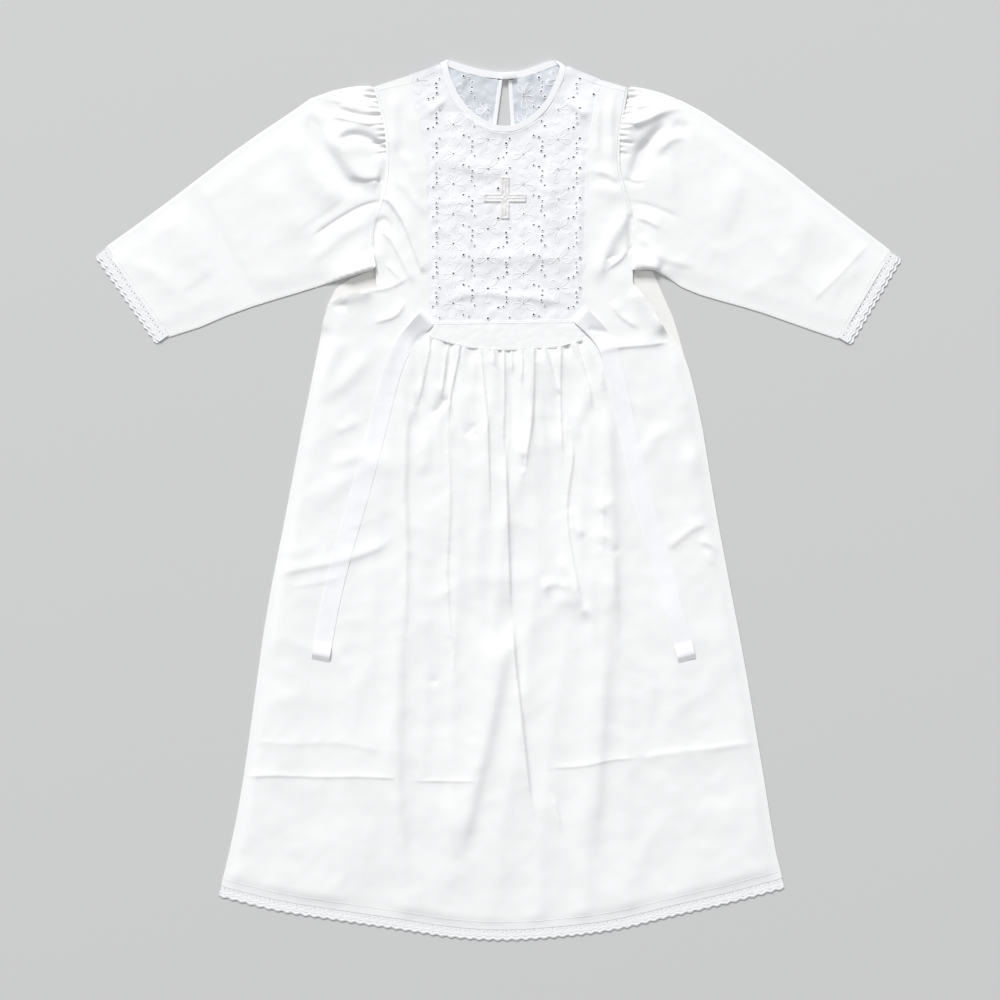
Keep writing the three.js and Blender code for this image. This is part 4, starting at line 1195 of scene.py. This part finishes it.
# ---- The eyelet cloth's pattern --------------------------------------------------------------------
@dataclass(frozen=True)
class EyeletPattern:
    """Eyelets in curled rows, with flowers between them, on a repeat of the cloth."""

    width: float = 70.0  # of one repeat, across the cloth
    length: float = 29.8  # of one repeat, down the cloth
    hook: Path = ((3.2, 0), (-0.3, 4.9), (0.1, 9.4), (0.4, 14.5), (-3.1, 18.9), (-8.3, 20.2))
    curl: Path = ((-7.4, 0), (-2.1, 1.4), (1.3, 5.6), (1.1, 10.8), (0.3, 15.3), (3.6, 20.3))
    hook_at: Spot = (506.5, 228.4)
    curl_at: Spot = (471.0, 225.6)
    flower_at: Path = ((453.5, 154.8), (488.0, 140.0))

    def repeats(self, start: Spot, low: Spot, high: Spot) -> list[Spot]:
        """Set a point in each repeat of the pattern.

        Args:
            start: the point in one repeat, on the board.
            low: the corner with the lowest x and y.
            high: the corner with the highest x and y.

        Returns:
            Its places between the two corners, and a little past them.
        """
        columns, rows = (
            range(math.floor((low[i] - start[i]) / step), math.ceil((high[i] - start[i]) / step) + 1)
            for i, step in enumerate((self.width, self.length))
        )
        return [(start[0] + self.width * c, start[1] + self.length * r) for c in columns for r in rows]

    def rows(self, low: Spot, high: Spot) -> list[Spot]:
        """Set out the curled rows of eyelets.

        Args:
            low: the corner with the lowest x and y.
            high: the corner with the highest x and y.

        Returns:
            The middles of the eyelets between the two corners.
        """
        dots = []
        for start, offsets in ((self.hook_at, self.hook), (self.curl_at, self.curl)):
            for x, y in self.repeats(start, low, high):
                dots += [(x + dx, y + dy) for dx, dy in offsets]
        return dots

    def flowers(self, low: Spot, high: Spot) -> list[Spot]:
        """Return the flowers' middles between two corners."""
        return [place for start in self.flower_at for place in self.repeats(start, low, high)]

    def petal(self, centre: Spot, angle: float, length: float, wide: float = 3.9) -> np.ndarray:
        """Draw one petal, a drop that starts at the flower's middle.

        Args:
            centre: the flower's middle.
            angle: which way the petal points, in radians.
            length: its length in millimetres.
            wide: half its width.

        Returns:
            Its outline on the board.
        """
        t = np.linspace(0, 2 * math.pi, 13, endpoint=False)
        swell = (1 - np.cos(t)) / 2
        along = 1.6 + length * swell
        across = wide * np.sin(t) * (0.25 + 0.75 * swell)
        x = centre[0] + along * math.cos(angle) - across * math.sin(angle)
        y = centre[1] + along * math.sin(angle) + across * math.cos(angle)
        return np.column_stack([x, y])


PATTERN = EyeletPattern()


@dataclass
class EyeletWork:
    """The sewn part of an eyelet cloth, rims and petals, with a disc of painted shade in each eyelet."""

    name: str
    outline: Outline
    cloth: LaidCloth
    margin: float = 2.4  # from the cloth's edge to the nearest eyelet
    flower_margin: float = 5.0
    petals: int = 5
    rim: float = 0.56  # radius of the thread round an eyelet
    rim_out: float = 0.5  # from the eyelet's edge to the middle of that thread
    rim_sunk: float = 0.08
    shade_disc_rise: float = 0.06  # of the shade in an eyelet, over the cloth
    petal_thread: float = 0.62
    petal_sunk: float = 0.34

    def within(self, places: list[Spot], margin: float) -> np.ndarray:
        """Return the places that lie inside the cloth, at least margin from its edge."""
        found = np.array(places)
        found = found[self.outline.holds(found)]
        return found[nearness(found, self.outline.closed).away > margin]

    def eyelets(self) -> np.ndarray:
        """Return the middles of all eyelets of this cloth."""
        low, high = self.outline.points.min(axis=0), self.outline.points.max(axis=0)
        return self.within(PATTERN.rows(low, high) + PATTERN.flowers(low, high), self.margin)

    def build(self, eyelets: np.ndarray) -> None:
        """Sew a rim round each eyelet, cover its hollow with a disc of painted shade and outline the
        petals.

        Args:
            eyelets: their middles on the board.
        """
        t = np.linspace(0, 2 * math.pi, 10, endpoint=False)
        ring = np.column_stack([np.cos(t), np.sin(t)])
        heights = self.cloth.heights(eyelets)
        radii = EYELET_RADIUS * (1.0 + 0.26 * np.sin(12.99 * eyelets[:, 0] + 78.23 * eyelets[:, 1]))
        rims = []
        bm = bmesh.new()
        for place, height, radius in zip(eyelets, heights, radii):
            rim = place + ring * (radius + self.rim_out)
            rims.append(metres(rim, np.full(len(rim), height - self.rim_sunk)))
            # Each disc lies just over the cloth and covers the hole: painted shade of the hollow.
            disc = bmesh.ops.create_circle(bm, cap_ends=True, segments=10, radius=(radius + 0.15) * MM)
            bmesh.ops.translate(bm, vec=point_at(place, height + self.shade_disc_rise), verts=disc["verts"])
        sewn = threads(self.name + "_rims", rims, self.rim, THREAD, closed=True, round_=1)
        hollows = object_of(self.name + "_hollows", bm, HOLLOW_PAINTED_SHADE)
        drops = self.drops()
        if drops:
            petals = threads(self.name + "_petals", drops, self.petal_thread, THREAD, closed=True, round_=1)
        log.info("%s: %d eyelets, %d petals", self.name, len(eyelets), len(drops))

    def drops(self) -> list[np.ndarray]:
        """Draw the petals of all flowers.

        Returns:
            The outlines, in the frame, of those that lie wholly on the cloth.
        """
        low, high = self.outline.points.min(axis=0), self.outline.points.max(axis=0)
        found = []
        for centre in self.within(PATTERN.flowers(low, high), self.flower_margin):
            for k in range(self.petals):
                angle = 2 * math.pi * k / self.petals + 0.35 + 0.12 * math.sin(2.1 * k + centre[0])
                drop = PATTERN.petal(tuple(centre), angle, 10.8 + 2.0 * math.sin(1.7 * k))
                if self.outline.holds(drop).all():
                    found.append(metres(drop, self.cloth.heights(drop) - self.petal_sunk))
        return found


# ---- The shirt's parts -----------------------------------------------------------------------------
BACK_TOP = 0.6  # the height of the back's upper face


class Body:
    """The front and the back of the shirt, with the bib, the yoke and the waistband."""

    def __init__(self) -> None:
        """Set how each piece lies."""
        # The back's upper face has painted shade: a little darker and warmer, as under the front.
        self.back = LaidCloth(
            "back_cloth", "back_panel", "muslin", INSIDE_PAINTED_SHADE,
            Drape((), BACK_TOP, air=0.0, uneven=0.0, least=0.0), cell=6.5, thickness=0.6,
            facing=Facing.FLAT_UP, other_side=MUSLIN, rests_on=("floor",),
        )
        # The yoke's upper face has painted shade: greyer and darker, as in the shade of the neck.
        self.yoke = LaidCloth(
            "back_yoke", "back_inset", "eyelet_cloth", WRONG_SIDE_PAINTED_SHADE,
            Drape(YOKE_FOLDS, BACK_TOP + 1.0, air=0.0, uneven=0.2, pucker=1.2, least=1.0),
            cell=1.9, thickness=0.5, grow=0.6,
            facing=Facing.FLAT_UP, other_side=EYELET, rests_on=("floor",),
        )
        self.front = LaidCloth(
            "front_cloth", "front_panel", "muslin", MUSLIN,
            Drape(
                SKIRT_FOLDS + BODICE_FOLDS + BIB_FOLDS[:2], held_down=(LEFT_SIDE, RIGHT_SIDE, HEM),
                uneven=1.0, fan=2.6, held_over=14.0,
            ),
            cell=3.7, thickness=0.55, grow=0.5, tuck=0.7, tuck_paths=(ARMHOLE_LEFT, ARMHOLE_RIGHT),
            rests_on=("back_cloth",), flat=(1.02, 0.86), area=0.41,
        )
        self.bib = LaidCloth(
            "front_bib", "front_inset", "eyelet_cloth", EYELET,
            Drape(BIB_FOLDS + BODICE_FOLDS + (NECK_EDGE,), uneven=1.0, pucker=0.6),
            cell=1.9, thickness=0.5, grow=1.3, tuck=0.25, tuck_paths=(BIB_LEFT, BIB_RIGHT),
            rests_on=("back_cloth",),
        )
        self.band = LaidCloth(
            "waistband", "waist_band", "muslin", MUSLIN,
            Drape(BIB_FOLDS + (BAND_TILT,), FRONT_BASE + 0.6, uneven=0.4, pucker=0.3),
            cell=1.6, thickness=1.0, grow=0.5,
            rests_on=("front_cloth",),
        )

    def build(self) -> None:
        """Make the cloth and what is sewn on it."""
        for cloth in (self.back, self.front, self.band):
            cloth.build()
        for cloth, name in ((self.yoke, "yoke"), (self.bib, "bib")):
            work = EyeletWork(name, Outline.of_node(cloth.node, cloth.facing), cloth)
            eyelets = work.eyelets()
            cloth.eyelets = tuple(map(tuple, eyelets))
            cloth.build()
            work.build(eyelets)


@dataclass
class Sleeve:
    """A sleeve laid flat: upper and lower cloth joined along the top and the foot."""

    name: str
    node: str
    drape: Drape
    armhole: Path
    cuff: Path
    cell: float = 2.2
    thickness: float = 0.3
    grow: float = 0.9  # how far the cloth reaches past its outline, into the seams
    lower: float = 0.32  # the height of the lower cloth's upper face
    tuck: float = 0.7
    tuck_over: float = 2.4
    open_within: float = 2.6  # of the armhole and the cuff, where the two cloths aren't joined
    fold_out: float = 0.8  # how far the folded edges bulge
    flat_share: float = 0.82  # of its own box that the sleeve fills, as it lies askew in it
    round_share: float = 2.06  # the area of the cloth all round, by that of the outline

    def build(self) -> bpy.types.Object:
        """Cut the sleeve, lay it and join its two cloths.

        Returns:
            The piece, which stands for its solid.
        """
        outline = Outline.of_node(self.node)
        bm = cut_cloth(outline, self.cell, self.grow)
        refine(bm, self.drape.folds, self.cell, 1)
        lower = list(bm.verts)
        made = bmesh.ops.extrude_face_region(bm, geom=bm.faces[:])
        upper = [item for item in made["geom"] if isinstance(item, bmesh.types.BMVert)]
        places = places_of(upper)
        seam = nearness(places, rounded(self.armhole)).away
        lift(upper, self.drape.heights(places) - self.tuck * np.exp(-((seam / self.tuck_over) ** 2)))
        lift(lower, np.full(len(lower), self.lower))
        self.join(bm, set(upper), outline)
        face_up(bm)
        piece = object_of(self.name, bm, MUSLIN)
        thicken(piece, self.thickness)
        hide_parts(self.node)
        width, length = outline.size()
        flat = (2 * width * self.flat_share, length)
        area = min(outline.area() * self.round_share, flat[0] * flat[1])
        log.info("%s: %d faces", self.name, len(piece.data.polygons))
        return piece

    def join(self, bm: bmesh.types.BMesh, top: set[bmesh.types.BMVert], outline: Outline) -> None:
        """Open the sleeve at the armhole and the cuff, and bulge its folded edges.

        Args:
            bm: both cloths, with upright faces between them.
            top: the upper cloth's vertices.
            outline: the edge of the sleeve.
        """
        sides = [f for f in bm.faces if 0 < sum(v in top for v in f.verts) < len(f.verts)]
        middles = places_of_faces(sides)
        away = [nearness(middles, rounded(path)).away for path in (self.armhole, self.cuff)]
        open_ = np.minimum(*away) < self.open_within
        bmesh.ops.delete(bm, geom=[f for f, gone in zip(sides, open_) if gone], context="FACES")
        uprights = [e for e in bm.edges if (e.verts[0] in top) != (e.verts[1] in top)]
        split = bmesh.ops.subdivide_edges(bm, edges=uprights, cuts=1, use_grid_fill=True)
        turn = [item for item in split["geom_inner"] if isinstance(item, bmesh.types.BMVert)]
        near = nearness(places_of(turn), outline.closed)
        for vert, out in zip(turn, outline.out[near.segment]):
            vert.co.x += out[0] * self.fold_out * MM
            vert.co.y -= out[1] * self.fold_out * MM


@dataclass
class Strip:
    """A narrow strip folded round an edge, as its solid with rounded edges."""

    name: str
    node: str
    edge: float = 0.7  # how far its edges are rounded, in millimetres

    def build(self) -> bpy.types.Object:
        """Round the solid's edges off.

        Returns:
            The strip, which stands for its solid.
        """
        bm = bmesh.new()
        bm.from_mesh(bpy.data.objects[self.node].data)
        bmesh.ops.remove_doubles(bm, verts=bm.verts, dist=WELD)
        bmesh.ops.join_triangles(
            bm, faces=bm.faces, angle_face_threshold=math.radians(25), angle_shape_threshold=math.pi
        )
        bm.normal_update()
        sharp = [e for e in bm.edges if len(e.link_faces) == 2 and e.calc_face_angle(0) > math.radians(50)]
        bmesh.ops.bevel(
            bm, geom=sharp, offset=self.edge * MM, offset_type="OFFSET", segments=2, profile=0.5,
            affect="EDGES", material=-1, clamp_overlap=True,
        )
        piece = object_of(self.name, bm, BIAS)
        round_off(piece, 2)
        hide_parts(self.node)
        log.info("%s: %d faces", self.name, len(piece.data.polygons))
        return piece


@dataclass
class Overlap:
    """The end of the neck's strip, lapped over its beginning at the middle of the back."""

    corners: Path
    height: float  # of its edge
    rise: float = 0.5  # of its middle over its edge
    rise_over: float = 1.6
    cell: float = 0.8
    thickness: float = 0.8

    def build(self) -> bpy.types.Object:
        """Cut the lapped end and lay it.

        Returns:
            The end.
        """
        outline = Outline(np.array(self.corners, dtype=float))
        bm = cut_cloth(outline, self.cell)
        verts = list(bm.verts)
        away = nearness(places_of(verts), outline.closed).away
        lift(verts, self.height + self.rise * smoothstep(away / self.rise_over))
        piece = object_of("neck_strip_end", bm, BIAS)
        thicken(piece, self.thickness)
        return piece


@dataclass
class Tie:
    """A tape tie, laid on the front from the bib's seam to its free end."""

    name: str
    node: str
    path: Path
    drape: Drape
    folds: tuple[Fold, ...]
    width: float = 17.8
    thickness: float = 0.35
    cell: float = 1.8
    stiff: float = 0.4  # the share of its height that bridges the furrows under it
    turned: float = 2.4  # how high its turned end stands
    start_rise: float = 6.0  # how high it comes out of the seam

    def build(self) -> bpy.types.Object:
        """Weave the tape along its path and lay it on the front.

        Returns:
            The piece, which stands for its solid.
        """
        line = rounded(self.path, 12)
        lengths = lengths_along(line)
        length, half = lengths[-1], self.width / 2
        bm = bmesh.new()
        bmesh.ops.create_grid(bm, x_segments=12, y_segments=round(length / self.cell), size=0.5)
        verts = list(bm.verts)
        x, y = np.array([v.co[:2] for v in verts]).T
        across = x / x.max() * half
        down = (0.5 - y / (2 * y.max())) * length
        way = at_lengths(down, lengths, directions(line))
        side = np.column_stack([way[:, 1], -way[:, 0]])
        places = at_lengths(down, lengths, line) + side * across[:, None]
        heights = self.heights(places, down, length, np.sign(side[:, 1]) * across / half)
        for vert, co in zip(verts, metres(places, heights)):
            vert.co = co
        face_up(bm)
        piece = object_of(self.name, bm, TWILL)
        thicken(piece, self.thickness)
        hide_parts(self.node)
        log.info("%s: %.0f mm long", self.name, length)
        return piece

    def heights(self, places: np.ndarray, down: np.ndarray, length: float, lower: np.ndarray) -> np.ndarray:
        """Work out how high the tape lies.

        Args:
            places: rows of x and y on the board.
            down: how far along the tape each place is.
            length: the tape's length.
            lower: from -1 at its upper edge on the board to 1 at its lower one.

        Returns:
            The height of its upper face at each place, in millimetres.
        """
        height = self.drape.heights(places)
        # A tape is stiffer than the cloth: it bridges the furrows under it.
        levels, rows = np.unique(np.round(down, 3), return_inverse=True)
        highest = np.full(len(levels), -FAR)
        np.maximum.at(highest, rows, height)
        kernel = np.exp(-(np.arange(-6, 7) ** 2) / 12.0)
        even = np.convolve(np.pad(highest, 6, mode="edge"), kernel / kernel.sum(), mode="valid")
        height = (1 - self.stiff) * height + self.stiff * even[rows] + self.thickness
        # The cut end is turned and stands up a little.
        left = length - down
        height = height + self.turned * smoothstep(np.minimum((20 - left) / 14, left / 5))
        # It comes out of the seam on its upper edge, then turns down on to the cloth.
        start = smoothstep(down / 6) * (1 - smoothstep((down - 7) / 30))
        height = height + self.start_rise * (0.6 - 0.4 * lower) * start
        for fold in self.folds:
            height = height + fold.rise(places)
        return height


@dataclass
class Cross:
    """The satin-stitched cross: corded borders and a raised line along the middle of each arm."""

    outline: Outline
    drape: Drape
    cell: float = 0.75
    thickness: float = 0.9
    rise: float = 0.25  # of its edge over the bib

    def build(self) -> bpy.types.Object:
        """Sew the cross on the bib.

        Returns:
            The piece, which stands for its solid.
        """
        bm = cut_cloth(self.outline, self.cell)
        verts = list(bm.verts)
        places = places_of(verts)
        away = nearness(places, self.outline.closed).away
        border = 0.9 * np.exp(-(((away - 1.3) / 0.85) ** 2))
        spine = 0.7 * np.exp(-(((away - 4.5) / 0.8) ** 2))
        lift(verts, self.drape.heights(places) + self.rise + border + spine + 0.35 * smoothstep(away / 1.2))
        piece = object_of("sewn_cross", bm, SATIN)
        thicken(piece, self.thickness)
        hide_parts("cross")
        return piece


LACE_STEPS = 8  # columns of cells in one scallop
LACE_ROWS = 7
LACE_HOLES = {(3, 2), (0, 3)}  # the open cells of one scallop: column and row
LACE_UNDER = 2.5  # how far the lace reaches under the cloth
LACE_FLOOR = 0.72  # the height of the lower layer


@dataclass
class Lace:
    """Scalloped lace along an edge, in two layers: dense ground, open cells and a corded scallop."""

    name: str
    node: str
    edge: Path
    scallops: int
    rise: float  # from the dip between two scallops to their tips
    lower_shift: float  # how far the lower layer shows past the upper one
    upper_height: float
    flip: bool = False  # whether the way out is to the right of the edge as drawn on the board
    depth: float = 10.5
    thickness: float = 0.4
    cord: float = 0.45

    def edge_frame(self) -> tuple[np.ndarray, np.ndarray]:
        """Measure the edge in even steps.

        Returns:
            The places of the steps, and the way out from the cloth at each.
        """
        line = rounded(self.edge, 24)
        lengths = lengths_along(line)
        points = at_lengths(np.linspace(0, lengths[-1], self.scallops * LACE_STEPS + 1), lengths, line)
        way = directions(points)
        return points, np.column_stack([-way[:, 1], way[:, 0]]) * (-1 if self.flip else 1)

    def reach(self, column: np.ndarray) -> np.ndarray:
        """Return how far out the scalloped edge is at a column of cells."""
        phase = 2 * math.pi * (column % LACE_STEPS) / LACE_STEPS
        return self.depth - self.rise * (1 + np.cos(phase)) / 2

    def layer(self, name: str, shift: float, height: float) -> bpy.types.Object:
        """Make one layer of the lace.

        Args:
            name: its name.
            shift: how far it is set out past the cloth's edge.
            height: how high its upper face lies.

        Returns:
            The layer, with its cells open.
        """
        points, out = self.edge_frame()
        bm = bmesh.new()
        bmesh.ops.create_grid(bm, x_segments=len(points) - 1, y_segments=LACE_ROWS, size=0.5)
        columns, rows = (
            {u: n for n, u in enumerate(sorted({round(v.co[axis], 6) for v in bm.verts}))}
            for axis in (0, 1)
        )
        cell = {}
        for vert in bm.verts:
            i, j = cell[vert] = columns[round(vert.co.x, 6)], rows[round(vert.co.y, 6)]
            t = j / LACE_ROWS
            phase = 2 * math.pi * (i % LACE_STEPS) / LACE_STEPS
            place = points[i] + out[i] * (shift - LACE_UNDER + (self.reach(i) + LACE_UNDER) * t)
            wave = 0.16 * math.sin(phase + 1.3 * j) + 0.3 * noise.noise(Vector((i * 0.31, j * 0.7, height)))
            vert.co = point_at(place, height + wave * t)
        holes = []
        for face in bm.faces:
            i, j = (min(cell[v][k] for v in face.verts) for k in (0, 1))
            if (i % LACE_STEPS, j) in LACE_HOLES:
                holes.append(face)
        bmesh.ops.delete(bm, geom=holes, context="FACES_ONLY")
        face_up(bm)
        piece = object_of(name, bm, LACE)
        round_off(piece, 1)
        thicken(piece, self.thickness)
        return piece

    def cords(self, shift: float, height: float) -> list[np.ndarray]:
        """Lay the cords of one layer: the scallops, and the arc inside each.

        Args:
            shift: how far the layer is set out past the cloth's edge.
            height: how high its upper face lies.

        Returns:
            One row of places for each cord.
        """
        points, out = self.edge_frame()
        reach = shift + self.reach(np.arange(len(points)))
        return [
            metres(points + out * (reach - inset)[:, None], np.full(len(points), height - sunk))
            for inset, sunk in ((0.2, 0.05), (2.9, 0.2))
        ]

    def build(self) -> None:
        """Make both layers and their cords."""
        upper = self.layer(self.name, 0.0, self.upper_height)
        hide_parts(self.node)
        lower = self.layer(self.name + "_lower", self.lower_shift, LACE_FLOOR)
        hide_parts(self.node)
        runs = self.cords(0.0, self.upper_height) + self.cords(self.lower_shift, LACE_FLOOR + 0.08)
        cords = threads(self.name + "_cords", runs, self.cord, LACE, round_=1)
        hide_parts(self.node)
        log.info("%s: %d scallops", self.name, self.scallops)


@dataclass
class Stitching:
    """Rows of stitches along the seams."""

    name: str
    rows: tuple[Path, ...]
    drape: Drape
    stitch: float = 2.2
    gap: float = 0.8
    radius: float = 0.24
    raise_: float = 0.05  # of a stitch's ends over the cloth
    arch: float = 0.12  # of its middle over its ends

    def build(self) -> bpy.types.Object:
        """Sew the rows.

        Returns:
            All the stitches, as one piece.
        """
        runs = []
        for row in self.rows:
            line = rounded(row, 10)
            lengths = lengths_along(line)
            for start in np.arange(0, lengths[-1] - self.stitch, self.stitch + self.gap):
                at = start + np.array([0.0, self.stitch / 2, self.stitch])
                runs.append(at_lengths(at, lengths, line))
        heights = self.drape.heights(np.vstack(runs)).reshape(-1, 3) + self.raise_
        heights[:, 1] += self.arch
        piece = threads(self.name, [metres(p, h) for p, h in zip(runs, heights)], self.radius, THREAD)
        log.info("%s: %d stitches", self.name, len(runs))
        return piece


# ---- The setting -----------------------------------------------------------------------------------
class Setting:
    """The pale floor, the soft light and the camera straight above."""

    def build(self) -> None:
        """Make the floor, the lights and the camera."""
        bm = bmesh.new()
        bmesh.ops.create_grid(bm, x_segments=2, y_segments=2, size=6.0)
        bmesh.ops.translate(bm, vec=(0, 0, -0.0001), verts=bm.verts)
        mesh = bpy.data.meshes.new("floor")
        bm.to_mesh(mesh)
        bm.free()
        floor = placed("floor", mesh)
        floor.data.materials.append(FLOOR.material())
        self.world()
        self.lamp("window", Vector((-4.4, 14.2, 10.4)), 6.0, 2960.0, "#FFFFFF")
        self.camera()

    def world(self) -> None:
        """Set the even light from all round."""
        world = bpy.data.worlds.new("studio")
        world.use_nodes = True
        background = world.node_tree.nodes["Background"]
        background.inputs["Color"].default_value = linear("#FCFDFF")
        background.inputs["Strength"].default_value = 0.485
        bpy.context.scene.world = world
        bpy.context.scene.view_settings.view_transform = "Standard"
        bpy.context.scene.view_settings.look = "None"

    def lamp(self, name: str, at: Vector, size: float, watts: float, colour: str) -> None:
        """Add a square soft lamp that faces the shirt.

        Args:
            name: its name.
            at: where it stands, in metres.
            size: the length of its sides, in metres.
            watts: its power.
            colour: its colour.
        """
        light = bpy.data.lights.new(name, "AREA")
        light.shape = "SQUARE"
        light.size = size
        light.energy = watts
        light.color = linear(colour)[:3]
        lamp = placed(name, light)
        lamp.location = at
        lamp.rotation_euler = (-at).to_track_quat("-Z", "Y").to_euler()

    def camera(self) -> None:
        """Hang the camera straight above the shirt."""
        lens = bpy.data.cameras.new("camera")
        lens.lens = 108.0
        lens.sensor_width = 36.0
        lens.clip_end = 20.0
        camera = placed("camera", lens)
        camera.location = (0.00167, 0.0, 3.0)
        bpy.context.scene.camera = camera


# ---- The whole shirt -------------------------------------------------------------------------------
def seams(body: Body) -> tuple[Stitching, ...]:
    """Place the rows of stitches of the body.

    Args:
        body: the front and the back, on whose cloth they lie.

    Returns:
        One piece of stitching for each kind of seam.
    """
    front, bib, band = body.front.drape, body.bib.drape, body.band.drape
    straps = (beside(BIB_LEFT, 1.8), beside(BIB_RIGHT, -1.8))
    armholes = (beside(ARMHOLE_LEFT, -2.2), beside(ARMHOLE_RIGHT, 2.2))
    return (
        Stitching("shoulder_stitches", SHOULDERS, front),
        Stitching("hem_stitches", (beside(HEM, -7.0),), front),
        Stitching("strap_stitches", straps, front, radius=0.16, raise_=0.0),
        Stitching("armhole_stitches", armholes, front),
        Stitching("neck_stitches", (beside(NECK_OUTER, 1.4),), bib),
        Stitching("band_stitches", (beside(BAND_FOOT, -1.4), ((432, 324.5), (582, 322.5))), band),
    )


def build_sleeves() -> None:
    """Make both sleeves and the stitches of their cuffs."""
    for side, folds, edges, armhole, cuff, out in (
        ("left", SLEEVE_FOLDS_LEFT, SLEEVE_EDGES_LEFT, ARMHOLE_LEFT, CUFF_LEFT, -1),
        ("right", SLEEVE_FOLDS_RIGHT, SLEEVE_EDGES_RIGHT, ARMHOLE_RIGHT, CUFF_RIGHT, 1),
    ):
        drape = Drape(
            folds + head_gathers(armhole, out), SLEEVE_BASE, uneven=0.6, seed=7.0 + out, held_down=edges,
            held_to=0.66, held_over=22.0, least=0.72,
        )
        Sleeve(f"{side}_sleeve", f"sleeve_{side}", drape, armhole, cuff).build()
        Stitching(f"{side}_sleeve_cuff_stitches", (beside(cuff, 3.0 * out),), drape).build()


def main() -> None:
    """Build the shirt piece by piece, then the setting."""
    logging.basicConfig(level=logging.INFO, format="%(name)s %(message)s")
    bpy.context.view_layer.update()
    body = Body()
    body.build()
    build_sleeves()
    Strip("neck_strip", "neck_binding").build()
    Overlap(STRIP_END, height=5.6).build()
    Strip("slit_strip", "slit_binding").build()
    Cross(Outline.of_node("cross", Facing.FLAT_UP), body.bib.drape).build()
    Lace("hem_trim", "hem_lace", HEM, 62, rise=1.5, lower_shift=1.0, upper_height=1.0).build()
    for side, edge, scallops, flip in (("left", CUFF_LEFT, 13, False), ("right", CUFF_RIGHT, 12, True)):
        Lace(
            f"{side}_cuff_trim", f"cuff_lace_{side}", edge, scallops,
            rise=1.6, lower_shift=3.2, upper_height=1.7, flip=flip,
        ).build()
    Tie("left_tie", "tie_left", TIE_PATH_LEFT, body.front.drape, TIE_TURN_LEFT).build()
    Tie("right_tie", "tie_right", TIE_PATH_RIGHT, body.front.drape, TIE_TURN_RIGHT).build()
    for stitching in seams(body):
        stitching.build()
    Setting().build()


if __name__ == "__main__":
    main()
